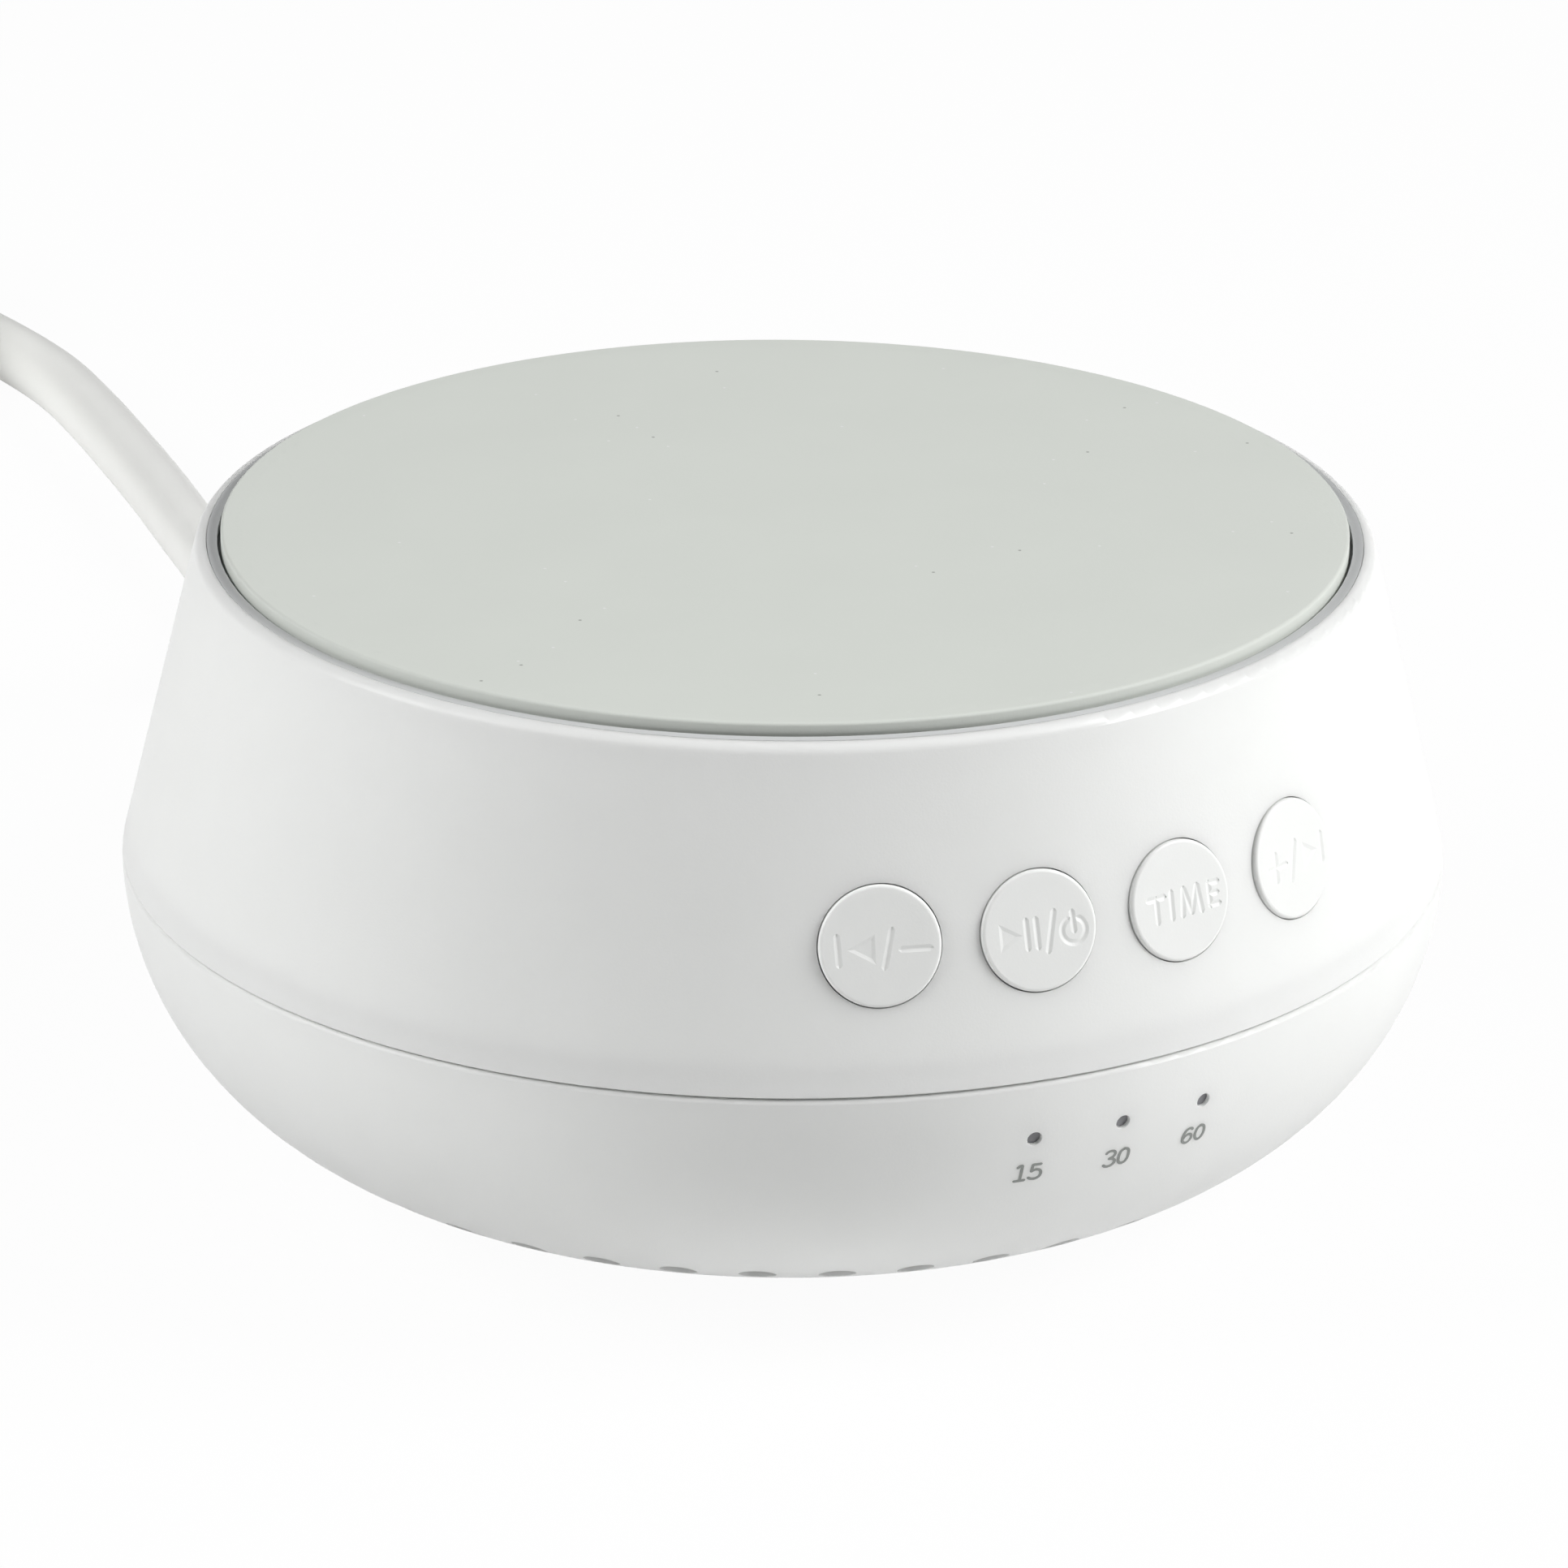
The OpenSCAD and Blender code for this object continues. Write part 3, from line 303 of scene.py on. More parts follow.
def milky(finish, weight, reach):
    """Lets light spread under a satin surface, by that many millimetres."""
    finish.set(Specular_IOR_Level=0.4, Subsurface_Weight=weight,
               Subsurface_Radius=(1, 1, 1), Subsurface_Scale=reach * MM)
    return finish


def milky_moulded(name, rgb, rough, grain, weight, reach):
    """Moulded plastic that lets a little light in."""
    return milky(moulded(name, rgb, rough, grain), weight, reach)


# The pad's specks: cells in a metre, share of the cells that hold one, its radius as a
# share of a cell, and its colour
SPECKS = ((260, 0.06, 0.022, (0.80, 0.81, 0.80)), (230, 0.03, 0.022, (0.36, 0.37, 0.35)))
FACING_UP = 0.95


def pad_silicone(name, rgb):
    """Matt silicone with a few light and dark specks in its upper face."""
    finish = Finish(name, rgb, 0.62, specular=0.35)
    tree = finish.tree
    shade = finish.mottle(90, 0.008)
    facing = finish.node("ShaderNodeSeparateXYZ",
                         Vector=finish.node("ShaderNodeNewGeometry").outputs["Normal"])
    upward = arithmetic(tree, "GREATER_THAN", facing.outputs["Z"], FACING_UP)
    for scale, share, size, speck in SPECKS:
        cells = finish.node("ShaderNodeTexVoronoi")
        cells.voronoi_dimensions = "2D"
        feed(tree, cells.inputs["Vector"], finish.place)
        feed(tree, cells.inputs["Scale"], scale)
        near = finish.between(cells.outputs["Distance"], size, size * 1.8, 1.0, 0.0)
        pick = finish.node("ShaderNodeSeparateColor", Color=cells.outputs["Color"]).outputs[0]
        chosen = arithmetic(tree, "MULTIPLY", arithmetic(tree, "LESS_THAN", pick, share), upward)
        shade = finish.paint(arithmetic(tree, "MULTIPLY", near, chosen), shade, speck)
    finish.relief(finish.noise(3800, 3), 0.010)
    finish.relief(finish.noise(260, 3), 0.02)
    finish.set(Sheen_Weight=0.08, Sheen_Roughness=0.5)
    return finish


def smoked_window(name, rgb):
    """Dark translucent plastic of the light windows."""
    finish = Finish(name, rgb, 0.18, coat=0.3)
    finish.mottle(900, 0.15)
    finish.relief(finish.noise(2600, 2), 0.003)
    return finish


def metal(name, rgb, rough, streak=(1, 1, 12), depth=0.006):
    """Metal with the faint lines that drawing or pressing leaves."""
    finish = Finish(name, rgb, rough, metallic=1.0)
    lines = finish.noise(900, 4, streak)
    finish.paint(finish.between(lines, 0.3, 0.7), shaded(rgb, 0.86), rgb)
    finish.sheen_of_use(700, rough - 0.06, rough + 0.1)
    finish.relief(lines, depth)
    return finish


def ferrite(name, rgb):
    """Dark sintered magnet with fine pits."""
    finish = Finish(name, rgb, 0.55)
    finish.mottle(500, 0.2)
    finish.relief(finish.noise(2200, 5), 0.05)
    return finish


def soft_black(name, rgb):
    """Matt foam and rubber of the gasket and the surround."""
    finish = Finish(name, rgb, 0.8, specular=0.3)
    finish.mottle(400, 0.2)
    finish.relief(finish.noise(3000, 3), 0.03)
    return finish


def pressed_paper(name, rgb):
    """Black paper cone with felted fibres."""
    finish = Finish(name, rgb, 0.75, specular=0.3)
    fibres = finish.noise(1800, 6, (1, 1, 0.4))
    finish.paint(finish.between(fibres, 0.35, 0.65), shaded(rgb, 0.6), shaded(rgb, 1.7))
    finish.relief(fibres, 0.06)
    return finish


def wound(name, rgb, pitch, axis, rough=0.3, metallic=1.0):
    """Fine wire or strands side by side, a pitch in millimetres apart along an axis, with painted
    shade in the hollows between them.
    """
    finish = Finish(name, rgb, rough, metallic=metallic)
    strands = finish.waves(pitch, axis)
    # painted shade: the colour darkens in the hollows between strands, where the relief lies low
    finish.paint(strands, shaded(rgb, 0.45), rgb)
    finish.sheen_of_use(500, rough - 0.05, rough + 0.1)
    finish.relief(strands, pitch * 0.3)
    return finish


def dipped_cloth(name, rgb, pitch=0.45):
    """Resin-dipped weave of the spider, with its threads a pitch in millimetres apart and painted
    shade in the hollows between them.
    """
    finish = Finish(name, rgb, 0.6)
    weave = arithmetic(finish.tree, "MULTIPLY", finish.waves(pitch, "X"), finish.waves(pitch, "Y"))
    # painted shade: the colour darkens in the hollows between threads, where the relief lies low
    finish.paint(finish.between(weave, 0.0, 0.6), shaded(rgb, 0.45), rgb)
    finish.relief(weave, 0.12)
    return finish


def green_board(name, rgb):
    """Solder mask over copper tracks and pads."""
    finish = Finish(name, rgb, 0.3, coat=0.4)
    grid = finish.node("ShaderNodeTexVoronoi", Vector=finish.place, Scale=420)
    grid.distance = "MANHATTAN"
    tracks = finish.between(grid.outputs["Distance"], 0.28, 0.32)
    finish.paint(tracks, shaded(rgb, 1.5, 0.01), rgb)
    finish.relief(tracks, 0.03)
    finish.sheen_of_use(300, 0.25, 0.38)
    return finish


def lamp_body(name, rgb):
    """Milky lamp bodies with a yellow tint."""
    finish = Finish(name, rgb, 0.25, coat=0.5)
    finish.mottle(1500, 0.1)
    finish.relief(finish.noise(3000, 2), 0.004)
    return finish


def phenolic_strip(name, rgb):
    """Brown laminated strip of the soldering lugs."""
    finish = Finish(name, rgb, 0.5)
    layers = finish.noise(1200, 4, (0.3, 0.3, 3))
    finish.paint(finish.between(layers, 0.35, 0.65), shaded(rgb, 0.6), rgb)
    finish.relief(layers, 0.02)
    return finish


def shrink_sleeve(name, rgb):
    """Glossy sleeve with a faint shrink texture."""
    finish = Finish(name, rgb, 0.22, coat=0.3)
    finish.mottle(300, 0.15)
    finish.relief(finish.noise(700, 3), 0.02)
    return finish


def foot_rubber(name, rgb):
    """Matt grey rubber with a bloom and a fine grain."""
    finish = Finish(name, rgb, 0.78, specular=0.3)
    finish.mottle(350, 0.12)
    finish.relief(finish.noise(2400, 4), 0.03)
    return finish


def lead_plastic(name, rgb):
    """Soft satin plastic of the lead, its bush and its plug."""
    finish = Finish(name, rgb, 0.42)
    finish.mottle(45, 0.012)
    finish.sheen_of_use(140, 0.37, 0.47)
    finish.relief(finish.noise(1400, 3), 0.010)
    return milky(finish, 0.3, 1.0)


def printed_ink(name, rgb):
    """Matt pad-printed ink with slightly uneven cover."""
    finish = Finish(name, rgb, 0.6, specular=0.3)
    finish.mottle(2500, 0.06)
    finish.relief(finish.noise(5000, 2), 0.004)
    return finish


black_moulding = partial(moulded, rough=0.5, grain=0.008)
FINISH_OF_SLOT = {
    "white_plastic": partial(milky_moulded, rough=0.42, grain=0.010, weight=0.6, reach=1.4),
    "white_caps": partial(milky_moulded, rough=0.38, grain=0.006, weight=0.3, reach=0.4),
    "tray_plastic": partial(moulded, rough=0.36, grain=0.008),
    "soft_pad": pad_silicone,
    "smoke_window": smoked_window,
    "black_plastic": black_moulding,
    "switch_steel": partial(metal, rough=0.28),
    "green_board": green_board,
    "led_white": lamp_body,
    "screw_steel": partial(metal, rough=0.33, streak=(6, 6, 1), depth=0.004),
    "basket_steel": partial(metal, rough=0.36, streak=(3, 3, 3), depth=0.004),
    "ferrite": ferrite,
    "soft_black": soft_black,
    "paper_cone": pressed_paper,
    "copper_coil": partial(wound, pitch=0.16, axis="Z"),
    "spider_cloth": dipped_cloth,
    "terminal_board": phenolic_strip,
    "transformer_tape": partial(wound, pitch=2.4, axis="Z", rough=0.35, metallic=0.0),
    "capacitor_sleeve": shrink_sleeve,
    "ivory_nylon": partial(milky_moulded, rough=0.4, grain=0.008, weight=0.1, reach=0.5),
    "foot_rubber": foot_rubber,
    "cord_jacket": lead_plastic,
    "tie_plastic": black_moulding,
    "plug_brass": partial(metal, rough=0.24, streak=(10, 1, 10), depth=0.004),
    "wire_insulation": partial(moulded, rough=0.34, grain=0.006),
    "ribbon_cable": partial(wound, pitch=1.0, axis="X", rough=0.45, metallic=0.0),
}
MADE = {}


def finish_for(slot, rgb=None):
    """The material of a slot, made once."""
    if slot not in MADE:
        MADE[slot] = FINISH_OF_SLOT[slot](slot, tuple(rgb or SLOT_COLOUR[slot])).material
    return MADE[slot]


def dress(*names):
    """Gives the frame's own pieces the finish of their slots."""
    for name in names:
        if name not in NODES:
            raise RuntimeError(f"the frame has no piece {name}")
        mesh = NODES[name].data
        mesh.materials.clear()
        mesh.materials.append(finish_for(SLOT_OF[name]))


# ---------------------------------------------------------------------------
# Shapes
# ---------------------------------------------------------------------------

def new_piece(name, data, slot, body, material=None):
    """Puts a mesh or curve into the scene, with its finish, on the body that carries it."""
    piece = bpy.data.objects.new(name, data)
    bpy.context.scene.collection.objects.link(piece)
    data.materials.clear()
    data.materials.append(material or finish_for(slot))
    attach(piece, body)
    return piece


def mesh_of_tubes(name, tubes, smooth=True):
    """Closed meshes through rings of equally many points, with a fan at each end of a tube."""
    points, faces = [], []
    for rings in tubes:
        count, start = len(rings[0]), len(points)
        last = start + (len(rings) - 1) * count
        points += [tuple(p) for ring in rings for p in ring]
        points += [sum(map(Vector, ring), Vector()) / count for ring in (rings[0], rings[-1])]
        for k in range(count):
            following = (k + 1) % count
            faces += [(a + k, a + following, a + count + following, a + count + k)
                      for a in range(start, last, count)]
            faces += [(start + following, start + k, last + count),
                      (last + k, last + following, last + count + 1)]
    mesh = bpy.data.meshes.new(name)
    mesh.from_pydata(points, [], faces)
    mesh.validate()
    shape = bmesh.new()
    shape.from_mesh(mesh)
    bmesh.ops.recalc_face_normals(shape, faces=shape.faces)
    shape.to_mesh(mesh)
    shape.free()
    mesh.polygons.foreach_set("use_smooth", [smooth] * len(mesh.polygons))
    return mesh


def mesh_of_rings(name, rings):
    """Closed mesh through one run of rings."""
    return mesh_of_tubes(name, [rings])


# A swept line's tip: how far it goes past the end, its width and its height, as shares
# of the section's half width, of each width and of each height
TIP_REACH, TIP_WIDTH, TIP_HEIGHT = 0.8, 0.35, 0.25


def sweep(line, section, place):
    """Rings of a section of (across, out) along a flat line, with narrow ends. In millimetres."""
    line = [Vector(p) for p in line]
    wide = max(across for across, _ in section)
    rings = []
    for k, point in enumerate(line):
        along = (line[min(k + 1, len(line) - 1)] - line[max(k - 1, 0)]).normalized()
        left = Vector((-along.y, along.x))
        ring = [point + left * across for across, _ in section]
        if k in (0, len(line) - 1):
            end = along * wide * (-TIP_REACH if k == 0 else TIP_REACH)
            tip = [(point + end + left * across * TIP_WIDTH, min(out, out * TIP_HEIGHT))
                   for across, out in section]
        full = [(spot, out) for spot, (_, out) in zip(ring, section)]
        rings += ([tip, full] if k == 0 else [full, tip] if k == len(line) - 1 else [full])
    return [[place(spot.x, spot.y, out) for spot, out in ring] for ring in rings]


def lathe(name, profile, steps=192):
    """Solid of revolution about Z through (radius, height) points, from below to above."""
    turns = [2 * pi * k / steps for k in range(steps)]
    return mesh_of_rings(name, [[(r * cos(t), r * sin(t), z) for t in turns] for r, z in profile])


def arc(x, y, radius, start, end, steps):
    """Points on an arc, from one angle to another."""
    return [(x + radius * cos(start + (end - start) * k / steps),
             y + radius * sin(start + (end - start) * k / steps)) for k in range(steps + 1)]


def smooth_path(points, steps):
    """A smooth line through given points."""
    ends = [points[0] * 2 - points[1], *points, points[-1] * 2 - points[-2]]
    line = []
    for a, b, c, d in zip(ends, ends[1:], ends[2:], ends[3:]):
        for k in range(steps):
            t = k / steps
            line.append(0.5 * ((2 * b) + (c - a) * t + (2 * a - 5 * b + 4 * c - d) * t ** 2
                               + (3 * b - a - 3 * c + d) * t ** 3))
    return [*line, points[-1]]


def tube_curve(name, points, radius, sides=10):
    """A round tube along one open line."""
    curve = bpy.data.curves.new(name, "CURVE")
    curve.dimensions = "3D"
    curve.bevel_depth = radius
    curve.bevel_resolution = sides
    curve.use_fill_caps = True
    spline = curve.splines.new("POLY")
    spline.points.add(len(points) - 1)
    for made, point in zip(spline.points, points):
        made.co = (*point, 1)
    spline.use_smooth = True
    return curve


def key_place(number):
    """Matrix of a cap's face: X to the right, Y up the wall and Z outward."""
    case = sizes("case")
    turn = (number - 1.5) * case.button_pitch
    up = case.button_height - case.seam_height
    reach = case.body_radius - up * tan(case.wall_tilt)
    return (Matrix.Rotation(turn, 4, "Z") @ Matrix.Translation((0, -reach, case.button_height))
            @ Matrix.Rotation(pi / 2 - case.wall_tilt, 4, "X")
            @ Matrix.Translation((0, 0, case.cap_proud)))


def on_flank(turn, drop, along, up, out):
    """Point on the lower shell's flank, from a place on it: sideways, up and outward."""
    case = sizes("case")
    lean = asin(drop / case.bowl_radius) - up / case.bowl_radius
    flat = case.body_radius - case.bowl_radius
    reach = flat + (case.bowl_radius + out) * cos(lean)
    around = turn + along / reach
    return Vector((reach * sin(around), -reach * cos(around),
                   case.seam_height - (case.bowl_radius + out) * sin(lean)))


# ---------------------------------------------------------------------------
# Marks and numbers: lines and corners in millimetres, from a cap's or a light's middle
# ---------------------------------------------------------------------------

def previous_and_minus():
    """Skip back, a slash and a minus: the grooves' lines and the pockets' corners."""
    return ([[(-3.38, 0.9), (-3.22, -1.35)], [(0.92, 1.25), (0.31, -1.7)],
             [(1.62, -0.3), (3.9, -0.28)]],
            [[(-2.62, -0.17), (-0.36, -1.42), (-0.42, 1.0)]])


def play_and_power():
    """Play and pause, a slash and the power sign."""
    return ([[(-1.14, 0.95), (-1.07, -1.3)], [(-0.31, 0.95), (-0.22, -1.3)],
             [(1.26, 1.35), (0.59, -1.72)], arc(2.83, -0.35, 1.0, radians(116), radians(424), 28),
             [(2.76, 1.1), (2.86, -0.42)]],
            [[(-3.44, 0.96), (-3.4, -1.36), (-1.45, -0.22)]])


def time_word():
    """The word TIME."""
    return ([[(-3.2, 0.62), (-1.6, 0.62)], [(-2.36, 0.62), (-2.44, -1.28)],
             [(-0.88, 0.85), (-0.98, -1.25)],
             [(0.34, 0.85), (0.04, -1.25)], [(0.36, 0.85), (0.97, -1.15)],
             [(0.97, -1.15), (1.66, 0.85)], [(1.7, 0.85), (1.94, -1.25)],
             [(2.85, 0.78), (2.82, -1.08)], [(2.85, 0.74), (3.72, 0.74)],
             [(2.85, -0.12), (3.6, -0.12)], [(2.82, -1.0), (3.68, -1.0)]], [])


def next_and_plus():
    """A plus, a slash and skip forward."""
    return ([[(-3.3, -0.15), (-1.05, -0.15)], [(-2.18, 0.92), (-2.4, -1.15)],
             [(0.45, 1.3), (-0.6, -1.58)], [(3.77, 0.98), (3.6, -1.12)]],
            [[(1.28, 1.02), (1.15, -1.3), (3.1, -0.12)]])


MARKS = (previous_and_minus, play_and_power, time_word, next_and_plus)
NUMBERS = {
    "15": ([(-1.06, -2.7), (-0.9, -2.54), (-0.69, -2.5)], [(-0.68, -2.52), (-0.7, -4.1)],
           [(-1.18, -4.12), (-0.3, -4.12)], [(0.22, -2.58), (0.92, -2.6)],
           [(0.22, -2.58), (0.16, -3.28)],
           [(0.16, -3.28), (0.34, -3.17), (0.62, -3.13), (0.9, -3.28), (1.01, -3.6),
            (0.9, -3.95), (0.6, -4.12), (0.25, -4.08), (-0.02, -3.92)]),
    "30": ([(-0.96, -2.92), (-0.82, -2.76), (-0.55, -2.7), (-0.25, -2.8), (-0.12, -3.06),
            (-0.24, -3.36), (-0.6, -3.52)],
           [(-0.6, -3.52), (-0.28, -3.58), (-0.04, -3.8), (-0.03, -4.1), (-0.22, -4.3),
            (-0.52, -4.37), (-0.8, -4.31), (-0.98, -4.15)],
           [(0.74, -2.74), (0.4, -2.96), (0.29, -3.53), (0.4, -4.12), (0.74, -4.33),
            (1.07, -4.12), (1.17, -3.53), (1.07, -2.96), (0.74, -2.74), (0.6, -2.78)]),
    "60": ([(-0.4, -2.68), (-0.52, -2.54), (-0.76, -2.49), (-1.04, -2.66), (-1.19, -3.05),
            (-1.21, -3.48), (-1.05, -3.86), (-0.73, -4.02), (-0.42, -3.88), (-0.3, -3.56),
            (-0.42, -3.24), (-0.7, -3.12), (-0.98, -3.24), (-1.14, -3.5)],
           [(0.42, -2.5), (0.12, -2.74), (0.03, -3.3), (0.2, -3.82), (0.53, -4.02),
            (0.83, -3.8), (0.92, -3.24), (0.76, -2.7), (0.42, -2.5), (0.3, -2.55)]),
}


# ---------------------------------------------------------------------------
# Operators
# ---------------------------------------------------------------------------

class SOUNDMACHINE_OT_studio(Operator):
    """Set up the camera, the softboxes, the even sky and the floor"""
    bl_idname = "sound_machine.studio"
    bl_label = "Studio"

    def execute(self, context):
        set_camera(context.scene)
        lay_floor()
        hang_lamps()
        light_sky(context.scene)
        context.scene.view_settings.view_transform = "Standard"
        return {"FINISHED"}


def outward(azimuth, elevation):
    """Direction from the case at a turn from the front and a height angle."""
    return Vector((sin(azimuth) * cos(elevation), -cos(azimuth) * cos(elevation), sin(elevation)))


def set_camera(scene):
    """Camera with a long lens, above and to the left of the front."""
    studio = sizes("studio")
    camera = bpy.data.objects.new("camera", bpy.data.cameras.new("camera"))
    scene.collection.objects.link(camera)
    camera.data.lens = studio.lens
    camera.data.sensor_width = studio.sensor
    camera.data.shift_x = studio.shift_x
    camera.data.shift_y = studio.shift_y
    camera.data.clip_start = 10 * MM
    back = outward(studio.azimuth, studio.elevation)
    target = Vector((0, 0, studio.target_height))
    look = (-back).to_track_quat("-Z", "Y").to_matrix().to_4x4()
    camera.matrix_world = (Matrix.Translation(target + back * studio.camera_distance) @ look
                           @ Matrix.Rotation(studio.roll, 4, "Z"))
    scene.camera = camera


def lay_floor():
    """White paper that keeps a soft shadow, and shows near white to the camera."""
    studio = sizes("studio")
    half = studio.floor_size / 2
    mesh = bpy.data.meshes.new("floor")
    mesh.from_pydata([(-half, -half, 0), (half, -half, 0), (half, half, 0), (-half, half, 0)],
                     [], [(0, 1, 2, 3)])
    floor = bpy.data.objects.new("floor", mesh)
    bpy.context.scene.collection.objects.link(floor)
    floor.location.z = -studio.floor_gap
    material = bpy.data.materials.new("floor_paper")
    material.use_nodes = True
    tree = material.node_tree
    tree.nodes.clear()
    paper = tree.nodes.new("ShaderNodeBsdfDiffuse")
    paper.inputs["Color"].default_value = (*studio.floor, 1)
    glow = tree.nodes.new("ShaderNodeEmission")
    path = tree.nodes.new("ShaderNodeLightPath")
    seen = path.outputs["Is Camera Ray"]
    for kind in ("Is Glossy Ray", "Is Transmission Ray"):
        seen = arithmetic(tree, "MAXIMUM", seen, path.outputs[kind])
    share = arithmetic(tree, "MULTIPLY", seen, studio.floor_glow)
    out = tree.nodes.new("ShaderNodeOutputMaterial")
    blend_shaders(tree, share, paper, glow, out)
    mesh.materials.append(material)


def blend_shaders(tree, share, first, second, out):
    """Mixes two shaders into an output."""
    blend = tree.nodes.new("ShaderNodeMixShader")
    for socket, value in zip(blend.inputs, (share, first.outputs[0], second.outputs[0])):
        feed(tree, socket, value)
    tree.links.new(blend.outputs[0], out.inputs["Surface"])


def hang_lamps():
    """A softbox to each side of the camera, the right one brighter, and a weak one overhead."""
    studio = sizes("studio")
    for name, azimuth, height, power in (
            ("right_softbox", studio.right_azimuth, studio.lamp_elevation, studio.right_power),
            ("left_softbox", studio.left_azimuth, studio.lamp_elevation, studio.left_power),
            ("top_softbox", 0, studio.top_elevation, studio.top_power)):
        lamp = bpy.data.lights.new(name, "AREA")
        lamp.shape = "SQUARE"
        lamp.size = studio.lamp_size
        lamp.energy = power
        holder = bpy.data.objects.new(name, lamp)
        bpy.context.scene.collection.objects.link(holder)
        away = outward(azimuth, height)
        holder.location = away * studio.lamp_distance + Vector((0, 0, studio.target_height))
        holder.rotation_euler = (-away).to_track_quat("-Z", "Y").to_euler()


def light_sky(scene):
    """Even light from all round, and white where the camera sees past the floor."""
    studio = sizes("studio")
    world = bpy.data.worlds.new("sky")
    scene.world = world
    world.use_nodes = True
    tree = world.node_tree
    tree.nodes.clear()
    even = tree.nodes.new("ShaderNodeBackground")
    even.inputs["Strength"].default_value = studio.sky
    white = tree.nodes.new("ShaderNodeBackground")
    path = tree.nodes.new("ShaderNodeLightPath")
    out = tree.nodes.new("ShaderNodeOutputWorld")
    blend_shaders(tree, path.outputs["Is Camera Ray"], even, white, out)


# The lead's route over the floor to its coil, in millimetres
LEAD_ROUTE = ((0, 81, 19.6), (0, 87, 19.6), (0.9, 94.2, 18.6), (2.4, 101, 15.8), (4, 106.8, 11.4),
              (5.6, 112.6, 7), (7.6, 119.4, 4.2), (9.7, 126.6, 3.2), (11.6, 134, 3.2),
              (13.2, 142, 3.2), (14.7, 150, 3.2), (17, 162, 3.2), (19, 174, 3.2),
              (20.8, 186, 3.2), (22, 198, 3.2), (21.6, 210, 3.2), (20, 222, 3.3),
              (17.8, 235, 3.7), (15.4, 247, 4))
COIL_PLACE = (-28, 238, 0)
# Each shift to a neighbouring turn or layer: from angle, to angle, new column, new layer
COIL_SHIFTS = ((300, 350, 0, 0), (660, 710, -1, 0), (970, 1020, -1, 1),
               (1280, 1330, 0, 1), (1640, 1690, 1, 1))
ROUTE_STEPS = 6
TAIL_STEPS = 4


def coil_point(angle):
    """Point on the coil's line at an angle in degrees."""
    lead = sizes("lead")
    column, layer = 1.0, 0.0
    for start, end, new_column, new_layer in COIL_SHIFTS:
        t = min(1, max(0, (angle - start) / (end - start)))
        ease = t * t * (3 - 2 * t)
        column += (new_column - column) * ease
        layer += (new_layer - layer) * ease
    reach = lead.coil_radius + column * lead.thickness
    height = lead.tie + lead.thickness * (layer + 0.5)
    turn = radians(angle)
    return Vector(COIL_PLACE) * MM + Vector((reach * cos(turn), reach * sin(turn), height))


def lead_line():
    """The lead's whole centre line: over the floor, round the coil and out to the plug."""
    lead = sizes("lead")
    route = smooth_path([Vector(p) * MM for p in LEAD_ROUTE], ROUTE_STEPS)
    first, last = degrees(lead.first_turn), degrees(lead.last_turn)
    count = round((last - first) / 360 * lead.steps)
    coil = [coil_point(first + (last - first) * k / count) for k in range(1, count + 1)]
    way = Vector((-sin(lead.last_turn), cos(lead.last_turn), 0))
    tail = [coil[-1] + way * lead.tail * k / TAIL_STEPS for k in range(1, TAIL_STEPS + 1)]
    return route + coil + tail, way


class SOUNDMACHINE_OT_lead(Operator):
    """Lay the round mains lead over the floor, round its coil and into its moulded plug"""
    bl_idname = "sound_machine.lead"
    bl_label = "Mains lead and plug"

    def execute(self, context):
        lead = sizes("lead")
        line, way = lead_line()
        finish_for("cord_jacket", lead.colour)
        curve = tube_curve("mains_lead", line, lead.thickness / 2)
        cord = new_piece("mains_lead", curve, "cord_jacket", "case")
        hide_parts("power_cord", "cord_coil", "cord_tail")
        plug = new_piece("moulded_plug", plug_mesh(line[-1], way), "cord_jacket", "case")
        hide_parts("plug_body")
        dress("strain_relief", "cord_inner_end", "cord_tie", "plug_blades")
        length = sum((b - a).length for a, b in zip(line, line[1:]))
        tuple(line[0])
        return {"FINISHED"}


def plug_ring(place, way, reach, wide, high, power, steps=64):
    """Rounded-off oblong ring across the plug, at a distance along it."""
    side = way.cross(Vector((0, 0, 1)))
    ring = []
    for k in range(steps):
        t = 2 * pi * k / steps
        x = abs(cos(t)) ** (2 / power) * (1 if cos(t) >= 0 else -1) * wide / 2
        z = abs(sin(t)) ** (2 / power) * (1 if sin(t) >= 0 else -1) * high / 2
        ring.append(place + (way * reach + side * x + Vector((0, 0, 1)) * z) * MM)
    return ring


# The plug from its neck on, in millimetres: the distance along it, width, height and
# squareness of each ring. Each rib of its neck: the distance past the rib's start and what
# the ring adds to the neck's width there.
PLUG_RINGS = ((13.6, 13.4, 12.2, 2.3), (14.4, 18.6, 15.6, 2.8), (15.6, 21.6, 17.8, 3.2),
              (18.0, 23.8, 19.4, 3.6), (21.0, 24.6, 19.6, 3.8), (26.0, 24.8, 18.4, 3.8),
              (31.0, 24.8, 18.2, 3.8), (35.0, 24.9, 19.4, 3.9), (38.0, 25.0, 20.6, 4.0),
              (42.6, 25.0, 20.8, 4.0), (43.5, 24.7, 20.5, 4.0), (43.9, 24.0, 19.8, 4.0),
              (44.0, 23.0, 18.8, 4.0))
RIB_RINGS = ((0.0, 0.0), (1.5, 0.3), (1.7, -1.1), (2.4, -1.0))
NECK_LENGTH, NECK_START, NECK_RIBS = 13.0, 0.4, 5
NECK_WIDTH, NECK_GROWTH, NECK_FLATNESS, NECK_SQUARENESS = 8.2, 1.1, 0.97, 2.1


